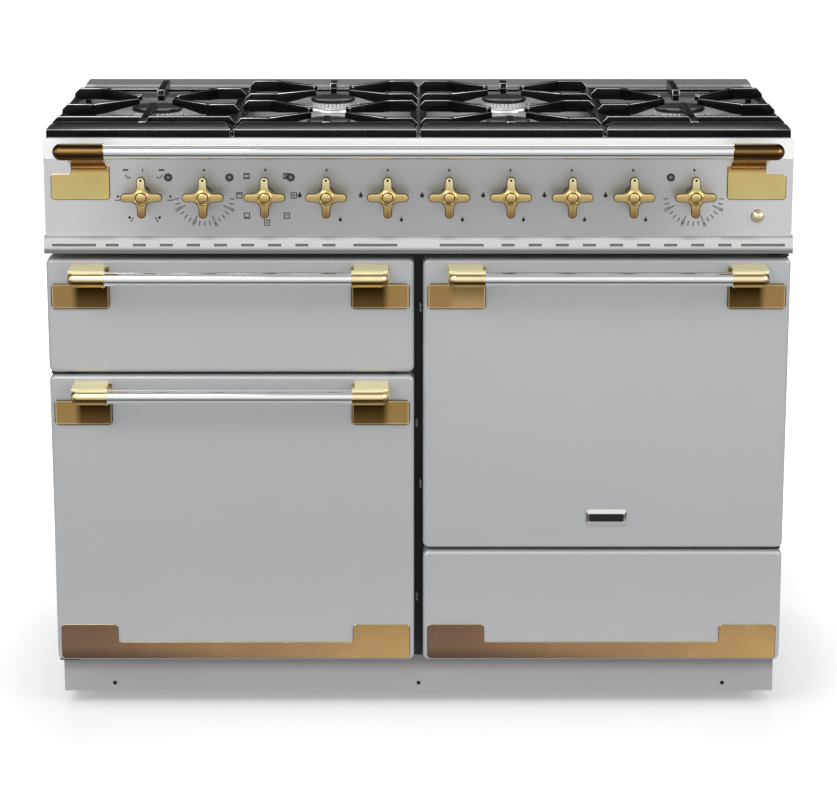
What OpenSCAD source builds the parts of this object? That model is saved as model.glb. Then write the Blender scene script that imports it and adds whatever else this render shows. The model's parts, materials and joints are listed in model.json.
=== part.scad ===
// Free-standing range cooker: six gas burners, grill, two side-opening ovens and a drawer.
// Millimetres. +Z up, +X to the right, the doors face -Y. The origin is on the floor, under the
// middle of the whole cooker with its front rail.

/* [Overall] */
// Width over the doors and the vent trim
cooker_w = 1092; // [1040:1:1140]
// Depth of the body, from the door faces to the back edge of the hob
body_d = 608; // [606:1:640]
// Distance of the side panels in from the doors' side edges
casing_step = 4.5; // [3:0.5:8]
// Height of the lower door edges above the floor
door_bottom = 89.5; // [85:0.5:110]
// Thickness of the folded sheet of the doors and panels
sheet_t = 2; // [1.5:0.1:2.5]

/* [Doors] */
// Height of the left oven door
left_door_h = 444; // [430:1:460]
// Height of the grill door
grill_door_h = 171.5; // [168:0.5:180]
// Height of the drawer front
drawer_h = 173; // [165:0.5:180]
// Gap between doors that lie one above the other
door_gap = 4.5; // [4:0.1:5]
// Gap between the left and the right doors
centre_gap = 13.2; // [11:0.1:15]
// Thickness of a door with its liner
door_t = 43; // [41:0.5:46]
// Thickness of the liner plate at a door's back
liner_t = 2.5; // [2:0.1:3]
// Corner radius of the doors, seen from the front
corner_r = 9; // [8:0.5:12]
// Radius of the rounded front edge of the doors
edge_r = 6; // [4:0.5:7]
// Room between a door's back and the front frame, filled by the seal
seal_room = 6; // [5:0.5:7]

/* [Door handles] */
// Diameter of the polished handle bars
bar_d = 21; // [18:0.5:22]
// Distance of the bar's centre from the door face
bar_out = 50; // [44:1:52]
// Distance of the bar's centre below the door's top edge
bar_drop = 20.5; // [19:0.5:24]
// Width of a bracket's plate
plate_w = 86; // [76:1:96]
// Height of a bracket's wide part
plate_h = 38; // [32:1:42]
// Distance from the door's top edge down to the plate's wide part
plate_drop = 37; // [35:1:42]
// Width of the arm that carries the bar
arm_w = 56; // [50:1:64]
// Thickness of the brass plates
brass_t = 3; // [2.5:0.1:4]
// Length of a brass end cap on a handle bar
cap_l = 54; // [48:1:60]
// Thickness of the cap's wall around the bar
cap_wall = 1.5; // [1:0.1:2]
// Distance of the plates from the door's side edge
plate_inset = 6.5; // [6:0.5:10]

/* [Front rail] */
// Diameter of the rail over its end caps
rail_d = 24; // [20:0.5:26]
// Distance of the rail's centre from the door faces
rail_out = 60; // [54:1:62]
// Distance of the rail's centre below the hob rim
rail_drop = 10; // [8:0.5:14]
// Thickness of the rail caps' wall around the rail
rail_wall = 1.5; // [1:0.1:2]
// Length of a rail cap
rail_cap_l = 74; // [66:1:80]
// Distance of the rail caps' tips from the cooker's sides
rail_inset = 22; // [18:1:30]
// Distance of the rail plates from the cooker's sides
rail_plate_inset = 11; // [8:1:14]
// Distance from the hob rim down to the rail plates' wide part
rail_plate_drop = 52; // [50:1:56]

/* [Kick strips] */
// Height of a kick strip in its middle
kick_h = 26; // [20:1:30]
// Height of its raised ends
kick_end_h = 54; // [46:1:60]
// Thickness of a kick strip
kick_t = 2; // [1.5:0.1:3]
// Distance of a kick strip from the door's lower edge
kick_lift = 3.5; // [2:0.5:6]
// Corner radius of the brass plates and strips
brass_r = 6; // [5:0.5:8]

/* [Badge plate] */
// Width of the plain badge plate
badge_w = 61; // [50:1:80]
// Height of the plate
badge_h = 26.5; // [20:0.5:34]
// Thickness of the plate
badge_t = 4; // [3:0.5:6]
// Distance of its centre from the right door's middle
badge_x = 4.7; // [-20:0.1:20]
// Distance of its centre above the right door's lower edge
badge_z = 48; // [40:1:80]

/* [Control panel] */
// Gap between the upper doors and the vent trim
trim_gap = 10.5; // [9:0.5:12]
// Height of the vent trim
trim_h = 25; // [22:0.5:28]
// Distance that the vent trim stands proud
trim_out = 15; // [12:0.5:18]
// Height of the control panel behind and above the trim
panel_h = 137; // [134:0.5:150]
// Distance of the knob centres below the hob rim
knob_drop = 81; // [78:0.5:86]
// Distance of the first and the last knob from the cooker's sides
knob_inset = 145; // [140:1:150]
// Distance of the lamps from the first three knobs' centres
lamp_side = 37; // [34:1:40]
// Distance of the last lamp from the last knob's centre
last_lamp_side = 34; // [32:1:40]
// Distance of the igniter button from the last knob's centre
button_side = 93.5; // [88:0.5:98]
// Distance of the igniter button below the knob centres
button_drop = 33; // [30:1:36]
// Span of a knob's four arms
knob_span = 60.6; // [54:0.1:64]
// Width of a knob's arm
knob_arm_w = 12.7; // [10:0.1:14]
// Thickness of the arms
knob_arm_t = 9; // [7:0.5:11]
// Distance of a knob's front from the panel
knob_out = 40; // [34:1:44]
// Radius of the knob's hub
knob_hub_r = 13.5; // [12:0.5:16]
// Radius of the spindle that a knob turns
spindle_r = 3; // [2.5:0.1:4]
// Radius of the indicator lamps
lamp_r = 6; // [5:0.5:7]
// Distance of the lamps above the knob centres
lamp_rise = 24; // [22:1:28]
// Radius of the igniter button
button_r = 9.5; // [8:0.5:10]
// Travel of the igniter button
button_travel = 3; // [2:0.5:4]

/* [Vent slots] */
// Height of the slots in the vent trim
slot_h = 4; // [3:0.5:6]
// Length of a short slot
slot_l = 19; // [15:1:24]
// Distance from one short slot to the next
slot_pitch = 39.5; // [36:0.5:44]
// Length of the long slot at each end of a row
slot_long = 64; // [56:1:70]

/* [Hob] */
// Height of the polished front apron of the hob
apron_h = 30; // [26:1:36]
// Distance from the hob rim down to the well's floor
well_drop = 17; // [14:1:20]
// Width of the rim at the front and the sides
rim_w = 14; // [12:0.5:18]
// Depth of the raised band at the back of the hob
rear_band_d = 70; // [60:1:80]
// Height of the pan supports above the rim
support_h = 18; // [16:0.5:22]
// Thickness of the pan supports' bars
support_bar = 11; // [9:0.5:13]
// Height of the supports' side frames
support_frame_h = 5; // [4:0.5:7]
// Depth of the wide front bar of the supports
front_bar_d = 48; // [40:1:54]
// Distance of the supports' front edge from the apron's face
support_inset = 4; // [3:0.5:8]
// Gap between neighbouring supports
support_gap = 2.8; // [2:0.1:4]
// Depth of the pan supports
support_d = 476; // [460:1:490]
// Radius of a side burner's cap
side_cap_r = 39; // [34:0.5:44]
// Radius of a front burner's cap
front_cap_r = 33; // [28:0.5:36]
// Radius of a rear burner's cap
rear_cap_r = 35; // [30:0.5:38]
// Distance of the side burners behind the door faces
side_burner_y = 298; // [290:1:306]
// Distance of the front burners behind the door faces
front_burner_y = 168; // [162:1:174]
// Distance of the rear burners behind the door faces
rear_burner_y = 397; // [390:1:402]
// Distance of the centre burners from the middle
centre_burner_x = 135; // [130:1:140]
// Distance of the side burners from the middle
side_burner_x = 404; // [398:1:410]

/* [Cavities] */
// Distance from a door's side edge to the opening behind it
cavity_side = 45; // [42:1:52]
// Distance from an oven door's upper and lower edges to the opening
cavity_end = 35; // [33:1:42]
// Distance from the grill door's upper and lower edges to the opening
grill_end = 25; // [24:0.5:28]
// Distance from the ovens' back walls to the casing's back panel
motor_room = 101; // [80:1:120]
// Depth of the grill cavity
grill_d = 380; // [350:1:400]
// Thickness of the enamelled cavity walls
cavity_t = 1.6; // [1.2:0.1:2]
// Distance of the fan guard from an oven's back wall
guard_gap = 38; // [34:1:44]
// Radius of the fan wheels
fan_r = 72; // [60:1:80]
// Travel of the drawer
drawer_travel = 380; // [300:5:385]

/* [Base] */
// Height of the plinth's lower edge above the floor
plinth_lift = 24; // [20:1:30]
// Distance of the plinth's front behind the door faces
plinth_back = 47; // [46:0.5:48]
// Distance of the plinth's outer screw holes from the cooker's sides
plinth_hole_inset = 80; // [70:1:100]
// Radius of the plinth's screw holes
plinth_hole_r = 3.25; // [2.5:0.05:4]
// Radius of the feet
foot_r = 22; // [18:1:28]

/* [Hidden] */
$fn = 48;

// Clearance between pieces that move on each other, all round
play = 0.3;
// Radial clearance of a shaft or a pin in its bore
shaft_play = 0.05;
// Overlap of a cutting shape past the face that it cuts
cut = 1;
// Overlap that joins two shapes of one piece
hair = 0.01;
// Number of slices that round off a door's front edge
edge_steps = 3;

// Depth of the drawer bay's walls and runners
runner_rest = 40;
runner_l = drawer_travel + runner_rest;
// Distance from the drawer front's edges to the opening behind it
drawer_side = 12;
drawer_end = 10.5;

// Planes across the depth
front_y = -(body_d + rail_out + rail_d / 2) / 2 + rail_out + rail_d / 2;
back_y = front_y + body_d;
door_back_y = front_y + door_t;
frame_y = door_back_y + seal_room;
inside_y = frame_y + sheet_t;
back_step = 36;
casing_back_y = back_y - back_step;
oven_d = casing_back_y - motor_room - inside_y;

// Levels, from the floor up
left_top = door_bottom + left_door_h;
grill_bottom = left_top + door_gap;
doors_top = grill_bottom + grill_door_h;
drawer_top = door_bottom + drawer_h;
right_bottom = drawer_top + door_gap;
trim_bottom = doors_top + trim_gap;
panel_top = trim_bottom + panel_h;
rim_z = panel_top + apron_h;
well_z = rim_z - well_drop;
support_top = rim_z + support_h;
knob_z = rim_z - knob_drop;
rail_z = rim_z - rail_drop;
base_drop = 29.5;
base_z = door_bottom - base_drop;

// Places across the width
half_w = cooker_w / 2;
half_casing = half_w - casing_step;
door_in = centre_gap / 2;

// Doors and openings as [x0, x1, z0, z1]
left_door = [-half_w, -door_in, door_bottom, left_top];
grill_door = [-half_w, -door_in, grill_bottom, doors_top];
right_door = [door_in, half_w, right_bottom, doors_top];
drawer_face = [door_in, half_w, door_bottom, drawer_top];
function inset(d, side, end) = [d[0] + side, d[1] - side, d[2] + end, d[3] - end];
left_open = inset(left_door, cavity_side, cavity_end);
grill_open = inset(grill_door, cavity_side, grill_end);
right_open = inset(right_door, cavity_side, cavity_end);
drawer_open = inset(drawer_face, drawer_side, drawer_end);

// A box between two corners
module span(a, b) {
    translate(a) cube(b - a);
}

// The outline of a plate with round corners
module rounded(p, r) {
    translate([p[0] + r, p[2]]) square([p[1] - p[0] - 2 * r, p[3] - p[2]]);
    translate([p[0], p[2] + r]) square([p[1] - p[0], p[3] - p[2] - 2 * r]);
    for (x = [p[0] + r, p[1] - r], z = [p[2] + r, p[3] - r]) translate([x, z]) circle(r);
}

// An upright plate [x0, x1, z0, z1] with its front on y and round corners
module upright(p, y, t, r) {
    translate([0, y + t, 0]) rotate([90, 0, 0]) linear_extrude(t) rounded(p, r);
}

// A shape drawn in X and Z, standing upright with its front on y
module stand(y, t) {
    translate([0, y + t, 0]) rotate([90, 0, 0]) linear_extrude(t) children();
}

// A shape drawn in Y and Z, running along X from x0 to x1
module along_x(x0, x1) {
    translate([x0, 0, 0]) rotate([90, 0, 90]) linear_extrude(x1 - x0) children();
}

// A shape and its mirror image on the other side of the middle
module both_sides() {
    children();
    mirror([1, 0, 0]) children();
}

// Round bars along each axis, from a point
module rod_x(p, l, r) {
    translate(p) rotate([0, 90, 0]) cylinder(r = r, h = l);
}

module rod_y(p, l, r) {
    translate(p) rotate([-90, 0, 0]) cylinder(r = r, h = l);
}

module rod_z(p, l, r) {
    translate(p) cylinder(r = r, h = l);
}

// Base, casing and front frame

// Distances of the feet from the side panels and from the front and back
foot_side = 60;
foot_in = 115;
foot_x = half_casing - foot_side;
foot_front_y = inside_y + foot_in;
foot_back_y = back_y - foot_in;
drawer_bay_x0 = drawer_open[0];
drawer_bay_x1 = drawer_open[1];
upright_top = drawer_open[3];

// Height of the base's turned-up sides, and how far the base ends before the back panel
base_side_h = 40;
base_end = 4;

module base_frame() {
    base_back = casing_back_y - base_end;
    color("dimgray") difference() {
        union() {
            span([-half_casing + sheet_t, inside_y, base_z],
                 [half_casing - sheet_t, base_back, base_z + sheet_t]);
            both_sides()
                span([half_casing - 2 * sheet_t, inside_y, base_z],
                     [half_casing - sheet_t, base_back, base_z + base_side_h]);
            for (x = [drawer_bay_x0 - sheet_t, drawer_bay_x1])
                span([x, inside_y, base_z], [x + sheet_t, inside_y + runner_l, upright_top]);
        }
        for (x = [-foot_x, foot_x], y = [foot_front_y, foot_back_y])
            rod_z([x, y, base_z - cut], sheet_t + 2 * cut, stud_r + play);
    }
}

stud_r = 5;
stud_rise = 20;
nut_h = 8;
pad_h = 9;

module feet() {
    color("black") for (x = [-foot_x, foot_x], y = [foot_front_y, foot_back_y]) {
        rod_z([x, y, 0], pad_h, foot_r);
        rod_z([x, y, pad_h], base_z + stud_rise - pad_h, stud_r);
        translate([x, y, base_z - nut_h]) cylinder(r = 2 * stud_r, h = nut_h, $fn = 6);
    }
}

inlet_r = 10.48;
inlet_side = 72;
inlet_x = half_w - inlet_side;

// Row of vents in the back panel
vent_row = 260;
vent_pitch = 40;
vent_l = 28;
vent_h = 6;
vent_drop = 60;

module casing() {
    color("dimgray") {
        both_sides()
            span([half_casing - sheet_t, inside_y, plinth_lift], [half_casing, back_y, panel_top]);
        difference() {
            span([-half_casing + sheet_t, casing_back_y, base_z + sheet_t],
                 [half_casing - sheet_t, casing_back_y + sheet_t, panel_top]);
            rod_y([inlet_x, casing_back_y - cut, knob_z], sheet_t + 2 * cut, inlet_r + 2);
            for (x = [-vent_row:vent_pitch:vent_row])
                span([x - vent_l / 2, casing_back_y - cut, panel_top - vent_drop],
                     [x + vent_l / 2, casing_back_y + sheet_t + cut, panel_top - vent_drop + vent_h]);
        }
    }
}

// Rails left beside and above the frame's opening for the knobs' switches and taps
frame_side = 25;
frame_top = 8;

module front_frame() {
    color("#202224") difference() {
        span([-half_casing, frame_y, base_z], [half_casing, inside_y, panel_top]);
        span([-half_casing + frame_side, frame_y - cut, trim_bottom + trim_h],
             [half_casing - frame_side, inside_y + cut, panel_top - frame_top]);
        for (o = [left_open, grill_open, right_open, drawer_open])
            upright(o, frame_y - cut, sheet_t + 2 * cut, corner_r);
    }
}

// Room under the doors, how far the plinth passes the side panels, and its holes' height
plinth_gap = 7.5;
plinth_past = 1.5;
plinth_hole_rise = 12.5;

module plinth() {
    half = half_casing + plinth_past;
    color("#9a979a") difference() {
        span([-half, front_y + plinth_back, plinth_lift], [half, frame_y, door_bottom - plinth_gap]);
        for (x = [-half_w + plinth_hole_inset, 0, half_w - plinth_hole_inset])
            rod_y([x, front_y + plinth_back - cut, plinth_lift + plinth_hole_rise],
                  2 * seal_room, plinth_hole_r);
    }
}

// Doors

// A door's block with a rounded front edge, grown inwards by wall on every side
module rounded_block(d, depth, wall) {
    hull() for (i = [0:edge_steps]) {
        start = edge_r * (1 - cos(90 * i / edge_steps));
        in = wall + edge_r * (1 - sin(90 * i / edge_steps));
        upright(inset(d, in, in), front_y + wall + start, depth - start, max(corner_r - in, 2), $fn = 32);
    }
}

// A folded skin, open at the back
module door_skin(d, depth) {
    difference() {
        rounded_block(d, depth, 0);
        rounded_block(d, depth, sheet_t);
    }
}

// Room between a liner's boss and the edges of the opening
side_boss_gap = 10;
drop_boss_gap = 12;

// Hinge pin of a side-opening door, near its outer front corner
pin_side = 8;
pin_depth = 16;
pin_r = 4;
pin_engage = 14;
pivot_t = 1.8;
block = 30;
// The blocks stay clear of the skin's rounded inner corners
block_room = 2.2;
block_inset = sheet_t + block_room;
block_front = sheet_t + edge_r;

// Drop-down hinge of the grill door
drop_depth = 8;
drop_rise = 8;
drop_pin_r = 3;
drop_front = sheet_t + 2;
lug_r = 5;
lug_t = 3;
lug_notch = 11;
lug_side = 32;
drop_block_h = 20;
lug_x = [grill_door[0] + lug_side, grill_door[1] - lug_side];

// How far a liner's edges stay inside the door, and how far its boss reaches into the opening
liner_in = 1;
boss_t = 8;

module liner_plate(d, o, boss_gap) {
    y = door_back_y - liner_t;
    upright(inset(d, liner_in, liner_in), y, liner_t, corner_r - liner_in);
    upright(inset(o, boss_gap, boss_gap), door_back_y, boss_t, corner_r);
}

// Liner of a side-opening door, with the two blocks that hold the hinge pins
module side_liner(d, o, hinge_x) {
    inner = hinge_x < 0 ? 1 : -1;
    edge = hinge_x < 0 ? d[0] : d[1];
    pin_x = edge + inner * pin_side;
    x0 = edge + inner * block_inset;
    x1 = x0 + inner * block;
    difference() {
        union() {
            liner_plate(d, o, side_boss_gap);
            for (z = [d[2] + block_inset, d[3] - block_inset - block])
                span([min(x0, x1), front_y + block_front, z],
                     [max(x0, x1), door_back_y - liner_t, z + block]);
        }
        rod_z([pin_x, front_y + pin_depth, d[2]], sheet_t + pin_engage + 2, pin_r + shaft_play);
        rod_z([pin_x, front_y + pin_depth, d[3] - sheet_t - pin_engage - 2],
              sheet_t + pin_engage + 2, pin_r + shaft_play);
    }
}

// Skin of a side-opening door, with the holes that the hinge pins pass
module side_skin(d, hinge_x) {
    pin_x = hinge_x < 0 ? d[0] + pin_side : d[1] - pin_side;
    difference() {
        door_skin(d, door_t - liner_t);
        for (z = [d[2] - cut, d[3] - block_inset])
            rod_z([pin_x, front_y + pin_depth, z], block_inset + cut, pin_r + 0.6);
    }
}

module drop_notch(x) {
    span([x - lug_notch / 2, front_y + drop_depth - lug_r - play, grill_bottom - cut],
         [x + lug_notch / 2, door_back_y + cut, grill_bottom + drop_rise + lug_r + 5]);
}

module grill_door_panel() {
    color("#abaeb0") difference() {
        door_skin(grill_door, door_t - liner_t);
        for (x = lug_x) drop_notch(x);
    }
}

module grill_door_liner() {
    color("#7f8284") difference() {
        union() {
            liner_plate(grill_door, grill_open, drop_boss_gap);
            for (x = lug_x)
                span([x - block / 2, front_y + drop_front, grill_bottom + block_inset],
                     [x + block / 2, door_back_y - liner_t, grill_bottom + drop_block_h]);
        }
        for (x = lug_x) {
            drop_notch(x);
            rod_x([x - block / 2 - cut, front_y + drop_depth, grill_bottom + drop_rise],
                  block + 2 * cut, drop_pin_r + shaft_play);
        }
    }
}

// One brass bracket for the left-hand end of a bar: plate, neck, the arm that is given as a child,
// and the end cap of radius rr round the bar, with a ring at its inner end
module bracket_solid(z_top, plate_x, plate_z, cap_x, arm_x, out, bar_z, rr, wall, length, ring) {
    ring_w = 3;
    difference() {
        union() {
            upright([plate_x, plate_x + plate_w, plate_z - plate_h, plate_z], front_y - brass_t,
                    brass_t, brass_r);
            span([arm_x, front_y - brass_t, plate_z - brass_r],
                 [plate_x + plate_w, front_y, z_top]);
            children();
            rod_x([cap_x + rr, front_y - out, bar_z], length - rr, rr);
            translate([cap_x + rr, front_y - out, bar_z]) sphere(rr);
            rod_x([cap_x + length - ring_w, front_y - out, bar_z], ring_w, rr + ring);
            // Fillet where the arm meets the wide part of the plate
            fillet_notch(arm_x, plate_z);
        }
        rod_x([cap_x + rr, front_y - out, bar_z], length, rr - wall + hair);
    }
}

// Concave fillet in the corner left of x and above z
module fillet_notch(x, z) {
    difference() {
        span([x - brass_r, front_y - brass_t, z], [x, front_y, z + brass_r]);
        rod_y([x - brass_r, front_y - brass_t - cut, z + brass_r], brass_t + 2 * cut, brass_r);
    }
}

// Left-hand bracket of a door handle, with its arm level with the bar's top
module handle_bracket(d) {
    bar_z = d[3] - bar_drop;
    plate_z = d[3] - plate_drop;
    plate_x = d[0] + plate_inset;
    arm_x = plate_x + plate_w - arm_w;
    top = bar_z + bar_d / 2 + cap_wall;
    bracket_solid(top - brass_t, plate_x, plate_z, arm_x, arm_x, bar_out, bar_z,
                  bar_d / 2 + cap_wall, cap_wall, cap_l, 0.8)
        along_x(arm_x + 1, arm_x + cap_l - 3)
            polygon([[front_y, top - 12], [front_y, top], [front_y - bar_out, top],
                     [front_y - bar_out, top - brass_t], [front_y - brass_t - 4, top - brass_t - 1],
                     [front_y - brass_t, top - 12]]);
}

// Left-hand bracket of the front rail, its arm rising and curving out to the rail
module rail_bracket() {
    plate_z = rim_z - rail_plate_drop;
    plate_x = -half_w + rail_plate_inset;
    arm_x = plate_x + plate_w - arm_w;
    bend = plate_z + 12;
    bracket_solid(bend, plate_x, plate_z, -half_w + rail_inset, arm_x, rail_out, rail_z,
                  rail_d / 2, rail_wall, rail_cap_l, 0)
        along_x(arm_x, plate_x + plate_w - 5)
            polygon([[front_y, bend - 4], [front_y - 8, bend + 10],
                     [front_y - rail_out + 4, rail_z - rail_d / 2 + 6],
                     [front_y - rail_out, rail_z - rail_d / 2 + 1],
                     [front_y - 10, bend + 4], [front_y - brass_t, bend - 4]]);
}

// A bracket and its mirror image at the other end of a door
module bracket_pair(mid_x) {
    children();
    translate([2 * mid_x, 0, 0]) mirror([1, 0, 0]) children();
}

module door_bar(d) {
    tip = d[0] + plate_inset + plate_w - arm_w + bar_d / 2 + cap_wall;
    color("silver")
        rod_x([tip, front_y - bar_out, d[3] - bar_drop], d[0] + d[1] - 2 * tip, bar_d / 2);
}

module door_brackets(d) {
    color("#c9a04a") bracket_pair((d[0] + d[1]) / 2) handle_bracket(d);
}

module kick_strip(d) {
    x0 = d[0] + plate_inset;
    x1 = d[1] - plate_inset;
    z = d[2] + kick_lift;
    color("#a5855a") {
        difference() {
            union() {
                upright([x0, x1, z, z + kick_h], front_y - kick_t, kick_t, brass_r);
                for (x = [x0, x1 - plate_w])
                    upright([x, x + plate_w, z, z + kick_end_h], front_y - kick_t, kick_t, brass_r);
                span([x0 + plate_w, front_y - kick_t, z + kick_h - hair],
                     [x0 + plate_w + brass_r, front_y, z + kick_h + brass_r]);
                span([x1 - plate_w - brass_r, front_y - kick_t, z + kick_h - hair],
                     [x1 - plate_w, front_y, z + kick_h + brass_r]);
            }
            for (x = [x0 + plate_w + brass_r, x1 - plate_w - brass_r])
                rod_y([x, front_y - kick_t - cut, z + kick_h + brass_r], kick_t + 2 * cut, brass_r);
        }
    }
}

module badge_plate() {
    x = (right_door[0] + right_door[1]) / 2 + badge_x;
    z = right_door[2] + badge_z;
    p = [x - badge_w / 2, x + badge_w / 2, z - badge_h / 2, z + badge_h / 2];
    color("silver") difference() {
        upright(p, front_y - badge_t, badge_t, badge_h / 4);
        upright(inset(p, badge_w / 9, badge_h / 4.5), front_y - badge_t - cut, cut + 1, 3);
    }
}

// Drawer

runner_w = 12;
runner_h = 24;
runner_lip = 3;
box_inset = 8;
box_drop = 22;
box_lift = 6;
box_rest = 12;
drawer_box_top = drawer_open[3] - box_drop;
slide_h = runner_h - 2 * runner_lip - 2 * play;
runner_z = (drawer_open[2] + drawer_open[3]) / 2;

// C-shaped channel on each side of the drawer bay
module drawer_runners() {
    z = runner_z;
    color("silver") for (side = [0, 1]) {
        wall_x = side == 0 ? drawer_bay_x0 : drawer_bay_x1 - sheet_t;
        lip_x = side == 0 ? drawer_bay_x0 : drawer_bay_x1 - runner_w;
        span([wall_x, inside_y, z - runner_h / 2],
             [wall_x + sheet_t, inside_y + runner_l, z + runner_h / 2]);
        for (lip = [z - runner_h / 2, z + runner_h / 2 - runner_lip])
            span([lip_x, inside_y, lip], [lip_x + runner_w, inside_y + runner_l, lip + runner_lip]);
    }
}

module drawer_front() {
    color("#a9acaf") door_skin(drawer_face, door_t - liner_t);
}

module drawer_box() {
    z = runner_z;
    x0 = drawer_bay_x0 + runner_w + box_inset;
    x1 = drawer_bay_x1 - runner_w - box_inset;
    back = inside_y + runner_l - box_rest;
    low = drawer_open[2] + box_lift;
    color("lightgray") {
        upright(inset(drawer_face, liner_in, liner_in), door_back_y - liner_t, liner_t,
                corner_r - liner_in);
        difference() {
            span([x0, door_back_y, low], [x1, back, drawer_box_top]);
            span([x0 + sheet_t, door_back_y + sheet_t, low + sheet_t],
                 [x1 - sheet_t, back - sheet_t, drawer_box_top + cut]);
        }
        // Slides that run in the channels, on both sides of the box
        span([drawer_bay_x0 + sheet_t + play, door_back_y, z - slide_h / 2],
             [x0, back, z + slide_h / 2]);
        span([x1, door_back_y, z - slide_h / 2],
             [drawer_bay_x1 - sheet_t - play, back, z + slide_h / 2]);
    }
}

// Seals and hinges

// Inner and outer edge of a seal, from the edge of its opening
seal_in = 3;
seal_out = 10;

module door_seals() {
    color("#303030") for (o = [left_open, grill_open, right_open]) {
        y = door_back_y + play;
        difference() {
            upright(inset(o, -seal_out, -seal_out), y, frame_y - y, corner_r + seal_out - 2);
            upright(inset(o, -seal_in, -seal_in), y - cut, seal_room + 2 * cut,
                    corner_r + seal_in - 1);
        }
    }
}

// Reach of a pivot plate inwards from the pin, and round it
pivot_l = 24;
pivot_r = 6;

// Pivot plate in the gap at height z, with a pin going up or down into the door
module pivot(d, hinge_x, z_gap, up) {
    x = hinge_x < 0 ? d[0] + pin_side : d[1] - pin_side;
    z = z_gap - pivot_t / 2;
    far_x = x - pivot_l * hinge_x;
    near_x = x + pivot_r * hinge_x;
    span([min(near_x, far_x), front_y + pin_depth - pivot_r, z],
         [max(near_x, far_x), frame_y, z + pivot_t]);
    reach = pin_engage + sheet_t + door_gap / 2;
    rod_z([x, front_y + pin_depth, up ? z : z + pivot_t - reach], reach, pin_r);
}

module hinge_brackets() {
    half = door_gap / 2;
    color("#505356") {
        pivot(left_door, -1, door_bottom - half, true);
        pivot(left_door, -1, left_top + half, false);
        pivot(right_door, 1, right_bottom - half, true);
        pivot(right_door, 1, doors_top + half, false);
        for (x = lug_x) {
            z = grill_bottom + drop_rise;
            span([x - lug_t / 2, front_y + drop_depth, z - lug_r], [x + lug_t / 2, frame_y, z + lug_r]);
            rod_x([x - lug_t / 2, front_y + drop_depth, z], lug_t, lug_r);
            rod_x([x - block / 2, front_y + drop_depth, z], block, drop_pin_r);
        }
    }
}

// Cavities

flange = 12;

// Enamelled box behind an opening, with a flange on the front frame
module cavity_shell(o, depth) {
    difference() {
        union() {
            span([o[0] - cavity_t, inside_y, o[2] - cavity_t],
                 [o[1] + cavity_t, inside_y + depth + cavity_t, o[3] + cavity_t]);
            span([o[0] - flange, inside_y, o[2] - flange],
                 [o[1] + flange, inside_y + cavity_t, o[3] + flange]);
        }
        upright(o, inside_y - cut, depth + cut, corner_r);
    }
}

shelf_levels = [0.22, 0.4, 0.58, 0.76];
ledge_w = 8;
ledge_h = 4;
ledge_start = 12;
shaft_hole_r = 7;
guard_hole_r = 8;
guard_rings = [30, 55];

function oven_mid(o) = [(o[0] + o[1]) / 2, (o[2] + o[3]) / 2];

module oven_cavity(o) {
    mid = oven_mid(o);
    back = inside_y + oven_d;
    color("#1d1f22") {
        difference() {
            cavity_shell(o, oven_d);
            rod_y([mid[0], back - cut, mid[1]], cavity_t + 2 * cut, shaft_hole_r);
        }
        // Ledges that carry the shelves
        for (f = shelf_levels, side = [0, 1]) {
            x = side == 0 ? o[0] : o[1] - ledge_w;
            z = o[2] + f * (o[3] - o[2]);
            span([x, inside_y + ledge_start, z],
                 [x + ledge_w, back - guard_gap - ledge_h, z + ledge_h]);
        }
        // Pierced guard in front of the fan
        difference() {
            span([o[0], back - guard_gap, o[2]], [o[1], back - guard_gap + cavity_t, o[3]]);
            for (a = [0:45:315], r = guard_rings)
                rod_y([mid[0] + r * cos(a), back - guard_gap - cut, mid[1] + r * sin(a)],
                      cavity_t + 2 * cut, guard_hole_r);
        }
    }
}

// Height of the grill pan's ledges above the cavity's floor, and where they start and end
pan_level = 34;
pan_ledge_start = 8;
pan_ledge_end = 20;

module grill_cavity() {
    color("#1d1f22") {
        cavity_shell(grill_open, grill_d);
        for (side = [0, 1]) {
            x = side == 0 ? grill_open[0] : grill_open[1] - ledge_w;
            z = grill_open[2] + pan_level;
            span([x, inside_y + pan_ledge_start, z],
                 [x + ledge_w, inside_y + grill_d - pan_ledge_end, z + ledge_h]);
        }
    }
}

// Room beside the grill pan, the width of its rim, the depth of its tray and its sheet
pan_room = 3;
pan_start = 10;
pan_end = 22;
pan_rim_w = 12;
pan_rim_y = 4;
pan_deep = 26;
pan_t = 2;
pan_rim_t = 1.5;

module grill_pan() {
    z = grill_open[2] + pan_level + ledge_h;
    x0 = grill_open[0] + pan_room;
    x1 = grill_open[1] - pan_room;
    y0 = inside_y + pan_start;
    y1 = inside_y + grill_d - pan_end;
    tray_x = pan_rim_w + pan_t;
    tray_y = pan_rim_y + pan_t;
    color("#2a2c2f") difference() {
        union() {
            span([x0 + pan_rim_w, y0 + pan_rim_y, z - pan_deep],
                 [x1 - pan_rim_w, y1 - pan_rim_y, z + pan_rim_t]);
            span([x0, y0, z], [x1, y1, z + pan_rim_t]);
        }
        span([x0 + tray_x, y0 + tray_y, z - pan_deep + pan_t],
             [x1 - tray_x, y1 - tray_y, z + pan_rim_t + cut]);
    }
}

// Wires of a shelf, the room beside it, and where it starts and ends
wire = 4;
cross_wires = 12;
shelf_room = 2;
shelf_start = 16;
shelf_end = 8;

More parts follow.
